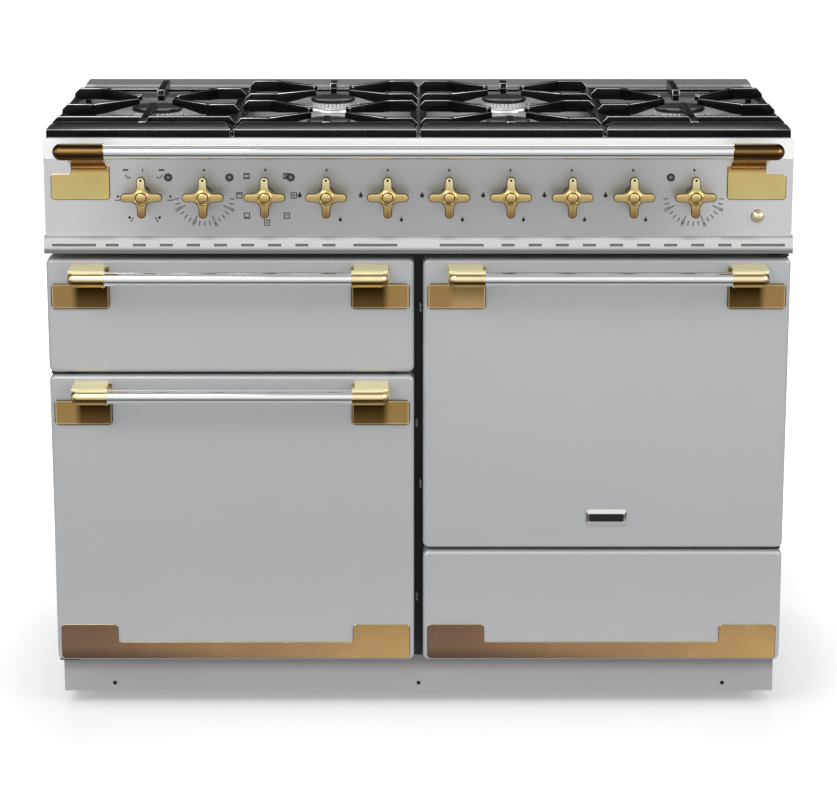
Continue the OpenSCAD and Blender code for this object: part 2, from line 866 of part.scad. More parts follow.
// Wire shelf: a frame of square wire with cross wires
module wire_shelf(o, z) {
    x0 = o[0] + shelf_room;
    x1 = o[1] - shelf_room;
    y0 = inside_y + shelf_start;
    y1 = inside_y + oven_d - guard_gap - shelf_end;
    for (y = [y0, y1 - wire]) span([x0, y, z], [x1, y + wire, z + wire]);
    for (x = [x0, x1 - wire]) span([x, y0, z], [x + wire, y1, z + wire]);
    for (i = [1:cross_wires]) {
        x = x0 + (x1 - x0) * i / (cross_wires + 1);
        span([x - wire / 2, y0, z], [x + wire / 2, y1, z + wire]);
    }
}

module oven_shelves() {
    color("silver") for (o = [left_open, right_open], f = [shelf_levels[1], shelf_levels[3]])
        wire_shelf(o, o[2] + f * (o[3] - o[2]) + ledge_h);
}

// Ring elements round the fans, and the spread of their two legs
element_r = 3.5;
ring_room = 18;
leg_x = 14;

// Grill element: its runs, its distance from the cavity's walls and roof, and its hangers
run_count = 6;
run_pitch = 55;
run_inset = 50;
run_drop = 16;
hanger_in = 60;
hanger_r = 2.5;

module heating_elements() {
    color("#6d6a66") {
        for (o = [left_open, right_open]) {
            mid = oven_mid(o);
            ring_r = fan_r + ring_room;
            y = inside_y + oven_d - guard_gap / 2;
            translate([mid[0], y, mid[1]]) rotate([90, 0, 0])
                rotate_extrude() translate([ring_r, 0]) circle(element_r);
            for (x = [-leg_x, leg_x])
                rod_y([mid[0] + x, y, mid[1] - sqrt(pow(ring_r, 2) - pow(leg_x, 2))], guard_gap / 2,
                      element_r);
        }
        z = grill_open[3] - run_drop;
        x0 = grill_open[0] + run_inset;
        x1 = grill_open[1] - run_inset;
        run_y = [for (i = [0:run_count - 1]) inside_y + run_inset + i * run_pitch];
        for (y = run_y) rod_x([x0, y, z], x1 - x0, element_r);
        for (i = [0:run_count - 2]) {
            x = i % 2 == 0 ? x1 : x0;
            rod_y([x, run_y[i], z], run_pitch, element_r);
            for (j = [i, i + 1]) translate([x, run_y[j], z]) sphere(element_r);
        }
        for (x = [x0 + hanger_in, x1 - hanger_in], i = [0, run_count - 1])
            rod_z([x, run_y[i], z], run_drop, hanger_r);
    }
}

// Fans

// Motor on its four feet behind the oven, and how far the wheel's shaft reaches into it
motor_gap = 6;
motor_l = 34;
motor_r = 26;
motor_foot_x = 20;
motor_foot_r = 4;
shaft_bore = 20;
shaft_room = 2.6;
fan_shaft_r = 4;

// Wheel: room behind the guard, depth and thickness of its blades, and its hub
wheel_room = 6;
fan_blade_d = 14;
fan_sheet = 1.6;
fan_hub_r = 10;
fan_hub_in = 2;

module fan_wheel(o) {
    mid = oven_mid(o);
    back = inside_y + oven_d;
    y = back - guard_gap + cavity_t + wheel_room;
    shaft_y = y + 2 * fan_hub_in;
    shaft_end = back + cavity_t + motor_gap - cut + shaft_bore - shaft_room;
    color("silver") {
        rod_y([mid[0], shaft_y, mid[1]], shaft_end - shaft_y, fan_shaft_r);
        rod_y([mid[0], y + fan_blade_d, mid[1]], fan_sheet, fan_r);
        for (a = [0:30:330]) translate([mid[0], y, mid[1]]) rotate([0, a, 0])
            span([fan_r * 0.4, 0, -fan_sheet / 2], [fan_r - 2, fan_blade_d + fan_sheet / 3, fan_sheet / 2]);
        rod_y([mid[0], y + fan_hub_in, mid[1]], fan_blade_d - fan_hub_in, fan_hub_r);
    }
}

module fan_motors() {
    back = inside_y + oven_d + cavity_t;
    color("#777a7d") for (o = [left_open, right_open]) {
        mid = oven_mid(o);
        difference() {
            union() {
                rod_y([mid[0], back + motor_gap, mid[1]], motor_l, motor_r);
                for (a = [0:90:270]) translate([mid[0], 0, mid[1]]) rotate([0, a, 0])
                    rod_y([motor_foot_x, back, 0], motor_gap, motor_foot_r);
            }
            rod_y([mid[0], back + motor_gap - cut, mid[1]], shaft_bore, fan_shaft_r + shaft_play);
        }
    }
}

// Control panel

// Knobs from left to right: the four electric ones, and six for gas
knob_n = 10;
electric_knobs = [1, 2, 3, knob_n];
gas_knobs = [4:knob_n - 1];
knob_pitch = (cooker_w - 2 * knob_inset) / (knob_n - 1);
function knob_x(k) = -half_w + knob_inset + (k - 1) * knob_pitch;

lamp_x = [for (k = electric_knobs) knob_x(k) + (k == knob_n ? -last_lamp_side : lamp_side)];
lamp_z = knob_z + lamp_rise;
lamp_out = 2.5;
lamp_in = 14;
lamp_lip = 1;
button_x = knob_x(knob_n) + button_side;
button_z = knob_z - button_drop;
spindle_hole_r = 6;

// Places of the long slots from the side and from the middle, and of the first short slot
slot_side = 12;
slot_middle = 31;
slot_start = 90;
slot_last = slot_middle + slot_long + slot_l;
slot_n = floor((half_w - slot_start - slot_l - slot_last) / slot_pitch);

function slot_spans() = concat(
    [[half_w - slot_side - slot_long, half_w - slot_side], [slot_middle, slot_middle + slot_long]],
    [for (i = [0:slot_n]) let (x = half_w - slot_start - i * slot_pitch) [x - slot_l, x]]);

module vent_slots(y, depth) {
    z = trim_bottom + trim_h / 2;
    for (s = slot_spans(), side = [0, 1]) {
        a = side == 0 ? s[0] : -s[1];
        span([a, y, z - slot_h / 2], [a + s[1] - s[0], y + depth, z + slot_h / 2]);
    }
}

panel_step = 1;
button_lip = 2;

module control_panel() {
    half = half_w - panel_step;
    color("#b4b6b6") difference() {
        span([-half, front_y, trim_bottom], [half, frame_y, panel_top]);
        span([-half + sheet_t, front_y + sheet_t, trim_bottom + sheet_t],
             [half - sheet_t, frame_y + cut, panel_top - sheet_t]);
        for (k = [1:knob_n]) rod_y([knob_x(k), front_y - cut, knob_z], sheet_t + 2 * cut, spindle_hole_r);
        for (x = lamp_x) rod_y([x, front_y - cut, lamp_z], sheet_t + 2 * cut, lamp_r - lamp_lip);
        rod_y([button_x, front_y - cut, button_z], sheet_t + 2 * cut, button_r - button_lip);
        vent_slots(front_y - cut, sheet_t + 2 * cut);
    }
}

trim_slope = 5;

module vent_trim() {
    out = front_y - trim_out;
    top = trim_bottom + trim_h;
    color("silver") difference() {
        along_x(-half_w, half_w)
            polygon([[front_y, trim_bottom], [out, trim_bottom], [out, top - trim_slope],
                     [out + trim_slope, top], [front_y, top]]);
        span([-half_w + sheet_t, out + sheet_t, trim_bottom + sheet_t],
             [half_w - sheet_t, front_y + cut, top - trim_slope]);
        vent_slots(front_y - trim_out - cut, sheet_t + 2 * cut);
    }
}

module indicator_lamps() {
    color("#303234") for (x = lamp_x) {
        rod_y([x, front_y - lamp_out, lamp_z], lamp_out, lamp_r);
        rod_y([x, front_y, lamp_z], lamp_in, lamp_r - lamp_lip - play);
    }
}

module rail_bar() {
    x = half_w - rail_inset - rail_d / 2;
    color("silver") rod_x([-x, front_y - rail_out, rail_z], 2 * x, rail_d / 2 - rail_wall);
}

module rail_brackets() {
    color("#c9a04a") bracket_pair(0) rail_bracket();
}

// How far the arms lie behind the knob's front, its stem's end off the panel, and its spindle
knob_face = 3;
knob_rest = 2;
knob_blend = 10;
spindle_start = 12;
spindle_in = 23;

// Four-armed knob with its spindle
module knob(k) {
    arm_y = front_y - knob_out + knob_face;
    color("#c8b078") translate([knob_x(k), 0, knob_z]) {
        for (a = [0, 90]) rotate([0, a, 0]) {
            upright([-knob_span / 2, knob_span / 2, -knob_arm_w / 2, knob_arm_w / 2], arm_y,
                    knob_arm_t, knob_arm_w / 2 - hair);
        }
        rod_y([0, arm_y - 1, 0], knob_arm_t + 1, knob_hub_r);
        rod_y([0, front_y - knob_out, 0], knob_face + 1, knob_hub_r - 4);
        rod_y([0, arm_y + knob_arm_t - hair, 0], knob_out - knob_face - knob_rest - knob_arm_t,
              knob_hub_r - 3);
        rod_y([0, arm_y + spindle_start, 0], front_y + spindle_in - arm_y - spindle_start, spindle_r);
        // Blends between neighbouring arms
        c = knob_arm_w / 2;
        for (a = [0:90:270]) rotate([0, a, 0]) difference() {
            span([c, arm_y, c], [c + knob_blend, arm_y + knob_arm_t, c + knob_blend]);
            rod_y([c + knob_blend, arm_y - cut, c + knob_blend], knob_arm_t + 2 * cut, knob_blend);
        }
    }
}

button_gap = button_travel + 1;
button_head = 8;
stem_in = 14;

module igniter_button() {
    color("#c9b06a") {
        rod_y([button_x, front_y - button_gap - button_head, button_z], button_head, button_r);
        rod_y([button_x, front_y - button_gap - hair, button_z], button_gap + stem_in + hair,
              button_r - button_lip - play);
    }
}

// Half width of a switch behind its knob, its depth, its bore, and its mouth round the spindle
switch_half = 20;
switch_back = 44;
spindle_bore = 34;
spindle_mouth = 5;
spark_half = 12;
spark_back = 32;

module control_switches() {
    y0 = front_y + sheet_t;
    color("#3a3d40") {
        for (k = electric_knobs) difference() {
            span([knob_x(k) - switch_half, y0, knob_z - switch_half],
                 [knob_x(k) + switch_half, y0 + switch_back, knob_z + switch_half]);
            rod_y([knob_x(k), y0 - cut, knob_z], spindle_bore, spindle_r + shaft_play);
            rod_y([knob_x(k), y0 - cut, knob_z], spindle_mouth, spindle_hole_r);
        }
        // Switch behind the igniter button, on a foot under the button
        span([button_x - spark_half, front_y + stem_in + button_gap, trim_bottom + sheet_t],
             [button_x + spark_half, front_y + spark_back, button_z + spark_half]);
    }
}

// Gas side

pipe_r = 4;
elbow_r = 5;
main_r = 8;
main_in = 68;
main_y = front_y + main_in;
tap_half = 12;
main_past = 24;
pipe_in = 40;
pipe_y = front_y + pipe_in;
pipe_rise = 18;
inlet_in = 20;
inlet_l = 50;
inlet_wall = 2.5;
tap_x = [for (k = gas_knobs) knob_x(k)];
burners = [
    [-side_burner_x, side_burner_y, side_cap_r], [-centre_burner_x, front_burner_y, front_cap_r],
    [-centre_burner_x, rear_burner_y, rear_cap_r], [centre_burner_x, rear_burner_y, rear_cap_r],
    [centre_burner_x, front_burner_y, front_cap_r], [side_burner_x, side_burner_y, side_cap_r]
];
pipe_level = [0, 13, 13, 0, 13, 13];

// A pipe along the one axis on which its two ends differ, with a ball-shaped elbow at its end
module pipe_run(a, b) {
    if (a[0] != b[0]) rod_x([min(a[0], b[0]), a[1], a[2]], abs(a[0] - b[0]), pipe_r);
    if (a[1] != b[1]) rod_y([a[0], min(a[1], b[1]), a[2]], abs(a[1] - b[1]), pipe_r);
    if (a[2] != b[2]) rod_z([a[0], a[1], min(a[2], b[2])], abs(a[2] - b[2]), pipe_r);
    translate(b) sphere(elbow_r);
}

jet_drop = 22;
jet_z = well_z - jet_drop;

module gas_manifold() {
    color("#b8b2a0") {
        difference() {
            union() {
                for (x = tap_x)
                    span([x - tap_half, front_y + sheet_t, knob_z - tap_half],
                         [x + tap_half, main_y, knob_z + tap_half]);
                rod_x([tap_x[0] - main_past, main_y, knob_z], inlet_x - tap_x[0] + main_past, main_r);
                translate([inlet_x, main_y, knob_z]) sphere(main_r);
                rod_y([inlet_x, main_y, knob_z], casing_back_y - inlet_in - main_y, main_r);
                rod_y([inlet_x, casing_back_y - inlet_in, knob_z], inlet_l, inlet_r);
                for (i = [0:len(burners) - 1]) {
                    b = burners[i];
                    z = knob_z + pipe_rise + pipe_level[i];
                    pipe_run([tap_x[i], pipe_y, knob_z + main_r], [tap_x[i], pipe_y, z]);
                    pipe_run([tap_x[i], pipe_y, z], [tap_x[i], front_y + b[1], z]);
                    pipe_run([tap_x[i], front_y + b[1], z], [b[0], front_y + b[1], z]);
                    rod_z([b[0], front_y + b[1], z], jet_z - z, pipe_r);
                }
            }
            for (x = tap_x) {
                rod_y([x, front_y + sheet_t - cut, knob_z], spindle_bore, spindle_r + shaft_play);
                rod_y([x, front_y + sheet_t - cut, knob_z], spindle_mouth, spindle_hole_r);
            }
            rod_y([inlet_x, casing_back_y, knob_z], inlet_l - inlet_in + cut, inlet_r - inlet_wall);
        }
    }
}

// Sizes of a burner from its cap's radius: the mixing cup, the dish, the toothed crown, the electrode
cup_in = 12;
dish_out = 8;
dish_h = 5;
crown_in = 3;
crown_h = 9;
port_w = 2.6;
port_h = 5;
port_deep = 5;
spark_out = 4.5;
spark_h = 10;
spark_r = 2;
cap_h = 7;
cap_edge = 1.5;

module burner_bases() {
    crown_top = well_z + dish_h + crown_h;
    color("#c9ccce") for (b = burners) translate([b[0], front_y + b[1], 0]) {
        r = b[2];
        // Mixing cup through the well's floor, on the jet
        rod_z([0, 0, jet_z], well_z - jet_z, r - cup_in);
        rod_z([0, 0, well_z], dish_h, r + dish_out);
        difference() {
            rod_z([0, 0, well_z + dish_h], crown_h, r - crown_in);
            for (a = [0:20:340]) rotate([0, 0, a])
                span([r - crown_in - port_deep, -port_w / 2, crown_top - port_h],
                     [r, port_w / 2, crown_top + cut]);
        }
        // Spark electrode beside the crown
        rod_z([r + spark_out, 0, well_z + dish_h], spark_h, spark_r);
    }
}

module burner_caps() {
    color("#1c1d1f") for (b = burners)
        translate([b[0], front_y + b[1], well_z + dish_h + crown_h]) rotate_extrude()
            polygon([[0, 0], [b[2] - 2, 0], [b[2], cap_edge], [b[2], cap_h - 2 * cap_edge],
                     [b[2] - 2 * cap_edge, cap_h - 1], [0, cap_h]]);
}

// Hob top

well_x = half_casing - rim_w;
front_rim = 12;
well_y0 = front_y + rim_w + front_rim;
well_y1 = back_y - rear_band_d;
band_step = 4;
band_h = 2;

module hob_tray() {
    color("#c4c7c9") difference() {
        union() {
            // Apron in front, and the deck with its skirt
            upright([-half_w, half_w, panel_top, rim_z], front_y, sheet_t + 2, 5);
            span([-half_casing, front_y + sheet_t, panel_top], [half_casing, back_y, rim_z]);
            span([-half_casing, well_y1 + band_step, rim_z - 1], [half_casing, back_y, rim_z + band_h]);
        }
        // Hollow under the deck, round the well
        difference() {
            span([-half_casing + sheet_t, front_y + 2 * sheet_t, panel_top - cut],
                 [half_casing - sheet_t, back_y - sheet_t, rim_z - sheet_t]);
            span([-well_x - sheet_t, well_y0 - sheet_t, well_z - sheet_t],
                 [well_x + sheet_t, well_y1 + sheet_t, rim_z]);
        }
        span([-well_x, well_y0, well_z], [well_x, well_y1, rim_z + cut]);
        for (b = burners)
            rod_z([b[0], front_y + b[1], well_z - sheet_t - cut], sheet_t + 2 * cut,
                  b[2] - cup_in + play);
    }
}

// Pan supports

support_y0 = front_y + support_inset;
support_y1 = support_y0 + support_d;
low_z = rim_z + play;
chamfer = 8;

// Bar from x0 to x1 across the hob at depth y, full height, with its outer ends sloped
module cross_bar(x0, x1, y, in0, in1) {
    stand(front_y + y - support_bar / 2, support_bar)
        polygon([[x0, low_z], [x1, low_z], [x1, support_top - in1], [x1 - in1, support_top],
                 [x0 + in0, support_top], [x0, support_top - in0]]);
}

// Straight blade from the outer point a to the tip b, tall outside and thin at the tip
module blade(a, b) {
    d = b - a;
    l = norm(d);
    low = low_z + 0.5;
    top = support_top - 0.4;
    translate([a[0], front_y + a[1], 0]) rotate([0, 0, atan2(d[1], d[0])])
        translate([0, support_bar / 2 - 1, 0]) rotate([90, 0, 0]) linear_extrude(support_bar - 2)
            polygon([[0, low], [l * 0.2, low], [l, top - 9], [l, top - 2], [l - 2, top], [0, top]]);
}

// Length of the short bars that carry the blades, and the blades' reach to the burner's middle
side_bar_l = 45;
tip_x_gap = 28;
side_reach = 18;
front_reach = 25;
rear_reach = 22;

// The four blades and side bars around a burner at depth y
module star(x0, x1, bx, by, front_bar, back_bar, reach) {
    for (side = [0, 1], bar = [front_bar, back_bar]) {
        out = side == 0 ? x0 : x1;
        in = side == 0 ? x0 + side_bar_l : x1 - side_bar_l;
        cross_bar(min(out, in), max(out, in), bar, side == 0 ? chamfer : 1, side == 0 ? 1 : chamfer);
        rod_z([in, front_y + bar, low_z], support_top - low_z, support_bar / 2 + 0.5);
        tip_x = bx + (side == 0 ? -1 : 1) * tip_x_gap;
        tip_y = by + (bar < by ? -1 : 1) * reach;
        blade([in, bar], [tip_x, tip_y]);
    }
}

leg_in = 7;
leg_r = 4.5;

// Frame of a support with its sloped front bar, its rear bar and its four legs under bars at leg_y
module support_frame(x0, x1, leg_y) {
    top = low_z + support_frame_h;
    w = support_bar;
    along_x(x0 + 1, x1 - 1)
        polygon([[support_y0, low_z], [support_y0, rim_z + support_h - 7],
                 [support_y0 + 4, rim_z + support_h - 3], [support_y0 + front_bar_d - 6, support_top],
                 [support_y0 + front_bar_d, support_top - 3], [support_y0 + front_bar_d, low_z]]);
    for (x = [x0, x1 - w]) span([x, support_y0 + front_bar_d / 2, low_z], [x + w, support_y1, top]);
    span([x0, support_y1 - w, low_z], [x1, support_y1, top]);
    for (x = [max(x0 + w / 2, -well_x + leg_in), min(x1 - w / 2, well_x - leg_in)], y = leg_y)
        rod_z([x, front_y + y, well_z + play], low_z - well_z, leg_r);
}

// Finger that runs front to back over a burner's axis, with both ends sloped
module finger(x, y0, y1) {
    a = front_y + y0;
    b = front_y + y1;
    along_x(x - support_bar / 2, x + support_bar / 2)
        polygon([[a + 3, low_z], [a, support_top - 8], [a + 2, support_top], [b - 2, support_top],
                 [b, support_top - 8], [b - 3, low_z]]);
}

// Depths of the supports' bars behind the door faces, and how far a finger stops before an axis
side_bars = [220, 390];
front_bars = [83, 260];
rear_bars = [333, support_inset + support_d - support_bar / 2];
finger_start = support_inset + front_bar_d - 12;
finger_end = support_inset + support_d;
front_stop = 62;
side_stop = 68;
rear_stop = 44;
bar_step = 45;
second_bar = support_inset + front_bar_d + bar_step;

module side_support(x0, x1, bx) {
    support_frame(x0, x1, [second_bar, side_bars[1]]);
    cross_bar(x0, x1, second_bar, chamfer, chamfer);
    star(x0, x1, bx, side_burner_y, side_bars[0], side_bars[1], side_reach);
    finger(bx, finger_start, side_burner_y - front_stop);
    finger(bx, side_burner_y + side_stop, finger_end);
}

module centre_support(x0, x1, bx) {
    support_frame(x0, x1, [front_bars[0], rear_bars[1]]);
    star(x0, x1, bx, front_burner_y, front_bars[0], front_bars[1], front_reach);
    star(x0, x1, bx, rear_burner_y, rear_bars[0], rear_bars[1], rear_reach);
    finger(bx, finger_start, front_burner_y - front_stop);
    finger(bx, rear_burner_y + rear_stop, finger_end);
}

support_w = half_casing / 2;

module pan_support(i) {
    x0 = -half_casing + (i - 1) * support_w + (i > 1 ? support_gap / 2 : 0);
    x1 = -half_casing + i * support_w - (i < 4 ? support_gap / 2 : 0);
    color("#18191b") {
        if (i == 1) side_support(x0, x1, -side_burner_x);
        if (i == 2) centre_support(x0, x1, -centre_burner_x);
        if (i == 3) centre_support(x0, x1, centre_burner_x);
        if (i == 4) side_support(x0, x1, side_burner_x);
    }
}

// Terminal box on the back panel: its place from the side and the base, its size and its cable hole
terminal_side = 130;
terminal_rise = 60;
terminal_w = 120;
terminal_h = 90;
terminal_d = 32;
terminal_t = 2;
gland_r = 8;

module terminal_box() {
    x = -half_casing + terminal_side;
    y = casing_back_y + sheet_t;
    z = base_z + terminal_rise;
    half = terminal_w / 2;
    in = half - terminal_t;
    color("#44474a") difference() {
        span([x - half, y, z], [x + half, y + terminal_d, z + terminal_h]);
        span([x - in, y + terminal_t, z + terminal_t],
             [x + in, y + terminal_d - terminal_t, z + terminal_h - terminal_t]);
        rod_z([x, y + terminal_d / 2, z - cut], terminal_t + 2 * cut, gland_r);
    }
}

base_frame();
casing();
front_frame();
hob_tray();
control_panel();
vent_trim();
rail_bar();
rail_brackets();
indicator_lamps();
gas_manifold();
control_switches();
grill_cavity();
oven_cavity(left_open);  // left_oven_cavity
oven_cavity(right_open);  // right_oven_cavity
burner_bases();
burner_caps();
heating_elements();
oven_shelves();
grill_pan();
plinth();
door_seals();
hinge_brackets();
drawer_runners();
terminal_box();
feet();
fan_motors();
grill_door_panel();
grill_door_liner();
door_bar(grill_door);  // grill_door_bar
door_brackets(grill_door);  // grill_door_brackets
color("#abaeb0") side_skin(left_door, -1);  // left_door_panel
color("#7f8284") side_liner(left_door, left_open, -1);  // left_door_liner
door_bar(left_door);  // left_door_bar
door_brackets(left_door);  // left_door_brackets
kick_strip(left_door);  // left_kick_strip
color("#abaeb0") side_skin(right_door, 1);  // right_door_panel
color("#7f8284") side_liner(right_door, right_open, 1);  // right_door_liner
door_bar(right_door);  // right_door_bar
door_brackets(right_door);  // right_door_brackets
badge_plate();
drawer_front();
drawer_box();
kick_strip(drawer_face);  // drawer_kick_strip
knob(1);  // knob_01
knob(2);  // knob_02
knob(3);  // knob_03
knob(4);  // knob_04
knob(5);  // knob_05
knob(6);  // knob_06
knob(7);  // knob_07
knob(8);  // knob_08
knob(9);  // knob_09
knob(10);  // knob_10
igniter_button();
pan_support(1);  // pan_support_1
pan_support(2);  // pan_support_2
pan_support(3);  // pan_support_3
pan_support(4);  // pan_support_4
fan_wheel(left_open);  // fan_left
fan_wheel(right_open);  // fan_right
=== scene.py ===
"""Looks of a range cooker with a gas hob, a grill, two ovens and a drawer, built round its CAD model."""

import json
import math

import bmesh
import bpy
from mathutils import Matrix, Vector

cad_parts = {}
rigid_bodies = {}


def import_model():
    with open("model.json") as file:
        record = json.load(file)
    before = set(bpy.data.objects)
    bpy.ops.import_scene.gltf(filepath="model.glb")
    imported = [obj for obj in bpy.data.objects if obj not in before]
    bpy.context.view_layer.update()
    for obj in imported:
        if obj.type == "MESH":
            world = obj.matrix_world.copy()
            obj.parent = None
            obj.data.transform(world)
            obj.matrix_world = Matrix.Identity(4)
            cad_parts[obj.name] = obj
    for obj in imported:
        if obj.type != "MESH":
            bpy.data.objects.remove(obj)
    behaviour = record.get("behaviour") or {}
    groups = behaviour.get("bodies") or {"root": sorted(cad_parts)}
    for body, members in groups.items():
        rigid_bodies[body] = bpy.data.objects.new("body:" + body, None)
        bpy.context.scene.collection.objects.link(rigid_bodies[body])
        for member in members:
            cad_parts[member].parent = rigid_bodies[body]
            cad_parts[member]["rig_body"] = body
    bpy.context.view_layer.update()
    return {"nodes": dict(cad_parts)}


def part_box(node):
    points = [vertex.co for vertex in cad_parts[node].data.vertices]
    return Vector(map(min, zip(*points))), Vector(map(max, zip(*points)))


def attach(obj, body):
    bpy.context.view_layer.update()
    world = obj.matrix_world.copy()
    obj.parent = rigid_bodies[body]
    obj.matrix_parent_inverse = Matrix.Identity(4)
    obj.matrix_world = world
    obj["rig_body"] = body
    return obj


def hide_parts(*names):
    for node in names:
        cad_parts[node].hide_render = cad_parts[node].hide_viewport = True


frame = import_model()
cad = frame["nodes"]
body_of_node = {n: o["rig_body"] for n, o in cad.items()}

# Planes and places read from the model, in metres
door_low, door_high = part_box("left_door_panel")
FACE = door_low.y
HALF = -door_low.x
DOOR_MIDDLE = (door_low.x + door_high.x) / 2
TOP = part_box("grill_door_panel")[1].z
LEFT_TOP = door_high.z
PANEL_LOW, PANEL_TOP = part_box("control_panel")[0].z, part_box("control_panel")[1].z
RIM = PANEL_TOP + 0.030
WELL = RIM - 0.017


def middle(node):
    low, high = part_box(node)
    return (low + high) / 2


KNOBS = [middle(f"knob_{k:02d}") for k in range(1, 11)]
KNOB_Z = KNOBS[0].z
KNOB_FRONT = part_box("knob_01")[0].y
STRIP_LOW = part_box("left_kick_strip")[0].z
TRIM_LOW, TRIM_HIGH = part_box("vent_trim")[0].z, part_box("vent_trim")[1].z
TRIM_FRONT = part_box("vent_trim")[0].y

# Middle of each burner from the centre and behind the front, and its cap's radius
BURNERS = [(-0.404, 0.298, 0.039), (-0.135, 0.168, 0.033), (-0.135, 0.397, 0.035),
           (0.135, 0.397, 0.035), (0.135, 0.168, 0.033), (0.404, 0.298, 0.039)]

# Sizes that the CAD part has too: wall of the caps on the bars, the drop from a door's top to the
# wide part of its brackets' plates, and the rounding on the pan supports' edges, which carries a painted
# highlight
CAP_WALL = 0.0015
PLATE_DROP = 0.037
PAINTED_HIGHLIGHT_EDGE = 0.0005


# Materials


class Wire:
    """An output in a node tree. Sums written with it add Math nodes."""

    def __init__(self, nodes, socket):
        self.nodes, self.socket = nodes, socket

    def math(self, operation, *values):
        return self.nodes.node("ShaderNodeMath", {"operation": operation}, dict(enumerate(values)))

    def __add__(self, other):
        return self.math("ADD", self, other)

    __radd__ = __add__

    def __sub__(self, other):
        return self.math("SUBTRACT", self, other)

    def __rsub__(self, other):
        return self.math("SUBTRACT", other, self)

    def __mul__(self, other):
        return self.math("MULTIPLY", self, other)

    __rmul__ = __mul__

    def __truediv__(self, other):
        return self.math("DIVIDE", self, other)

    def __abs__(self):
        return self.math("ABSOLUTE", self)

    def root(self):
        return self.math("SQRT", self)

    def least(self, *others):
        smallest = self
        for other in others:
            smallest = self.math("MINIMUM", smallest, other)
        return smallest

    def rise(self, low, high):
        """0 below low, 1 above high, smooth between."""
        return self.nodes.node("ShaderNodeMapRange", {"interpolation_type": "SMOOTHSTEP"},
                               {"Value": self, "From Min": low, "From Max": high})


class Nodes:
    """A node tree that is filled by calls."""

    def __init__(self, tree):
        self.tree = tree
        tree.nodes.clear()

    def plug(self, socket, value):
        for source in value if isinstance(value, list) else [value]:
            if isinstance(source, Wire):
                self.tree.links.new(source.socket, socket)
            elif socket.type == "RGBA":
                socket.default_value = (*source[:3], 1)
            else:
                socket.default_value = source

    def node(self, kind, settings=None, inputs=None, out=0):
        made = self.tree.nodes.new(kind)
        for key, value in (settings or {}).items():
            setattr(made, key, value)
        for key, value in (inputs or {}).items():
            self.plug(made.inputs[key], value)
        return None if out is None else Wire(self, made.outputs[out])

    def ramp(self, value, stops):
        """Colours that change along value. stops is [(place, colour)]."""
        made = self.node("ShaderNodeValToRGB", {}, {"Fac": value})
        elements = made.socket.node.color_ramp.elements
        while len(elements) < len(stops):
            elements.new(1)
        for element, (place, colour) in zip(elements, stops):
            element.position, element.color = place, (*colour, 1)
        return made

    def mix(self, factor, a, b, blend="MIX"):
        settings = {"data_type": "RGBA", "blend_type": blend}
        return self.node("ShaderNodeMix", settings, {0: factor, 6: a, 7: b}, 2)


class Finish(Nodes):
    """One material: a Principled shader and the nodes that feed it."""

    def __init__(self, name, **sockets):
        self.material = bpy.data.materials.new(name)
        self.material.use_nodes = True
        super().__init__(self.material.node_tree)
        surface = self.node("ShaderNodeBsdfPrincipled")
        self.node("ShaderNodeOutputMaterial", {}, {"Surface": surface}, None)
        self.shader = surface.socket.node
        for socket, value in sockets.items():
            self.feed(socket.replace("_", " ").title().replace("Ior", "IOR"), value)

    def feed(self, socket, value):
        self.plug(self.shader.inputs[socket], value)

    def place(self):
        return self.node("ShaderNodeTexCoord", out="Object")

    def axis(self, letter):
        return self.node("ShaderNodeSeparateXYZ", {}, {0: self.place()}, letter.upper())

    def noise(self, scale, stretch=(1, 1, 1), detail=3.0):
        """Noise from 0 to 1 with scale cells a metre, drawn out by stretch."""
        mapped = self.node("ShaderNodeMapping", {}, {"Vector": self.place(), "Scale": stretch})
        return self.node("ShaderNodeTexNoise", {}, {"Vector": mapped, "Scale": scale, "Detail": detail})

    def bump(self, height, depth):
        """Relief of that depth in metres, fed to the shader's normal."""
        self.feed("Normal", self.node("ShaderNodeBump", {}, {"Distance": depth, "Height": height}))


def tone(colour, share):
    return tuple(c * share for c in colour)


def worn_steel(name, colour, roughness, grain=(1, 1, 1), cells=400, depth=0.00002, metallic=1.0,
               spread=0.06):
    """Steel with drawn-out grain, soft clouds in its gloss and a faint change of tone."""
    f = Finish(name, metallic=metallic)
    fine = f.noise(cells, grain, 2.0)
    cloud = f.noise(3.5, detail=2.0)
    shade = fine * 0.5 + cloud * 0.5
    f.feed("Base Color", f.mix(shade, tone(colour, 1 - spread), tone(colour, 1 + spread)))
    f.feed("Roughness", (fine - 0.5) * 0.1 + (cloud - 0.5) * 0.08 + roughness)
    f.bump(fine, depth)
    return f


def door_enamel():
    """Light grey metallic enamel, smooth with a very fine orange peel."""
    f = Finish("door_enamel", metallic=0.42, coat_weight=0.2, coat_roughness=0.15)
    cloud = f.noise(2.2, detail=2.0)
    fleck = f.noise(1400, detail=1.0)
    shade = cloud * 0.7 + fleck * 0.3
    f.feed("Base Color", f.mix(shade, (0.505, 0.52, 0.531), (0.555, 0.57, 0.583)))
    f.feed("Roughness", (fleck - 0.5) * 0.06 + 0.4)
    f.bump(f.noise(260, detail=1.0), 0.000012)
    return f.material


def panel_steel():
    """Brushed panel with a painted highlight that makes it lighter towards its two ends."""
    f = Finish("panel_steel", metallic=0.9, anisotropic=0.4)
    grain = f.noise(260, (0.02, 1, 6), 3.0)
    # Painted highlight: the base colour gets lighter towards both ends of the panel.
    ends = abs(f.axis("x")).rise(0.30, 0.53)
    base = f.mix(ends, (0.63, 0.635, 0.63), (0.96, 0.96, 0.97))
    f.feed("Base Color", f.mix(grain * 0.16, base, (0.20, 0.20, 0.20)))
    f.feed("Roughness", (grain - 0.5) * 0.14 + 0.34)
    f.bump(grain, 0.00002)
    return f.material


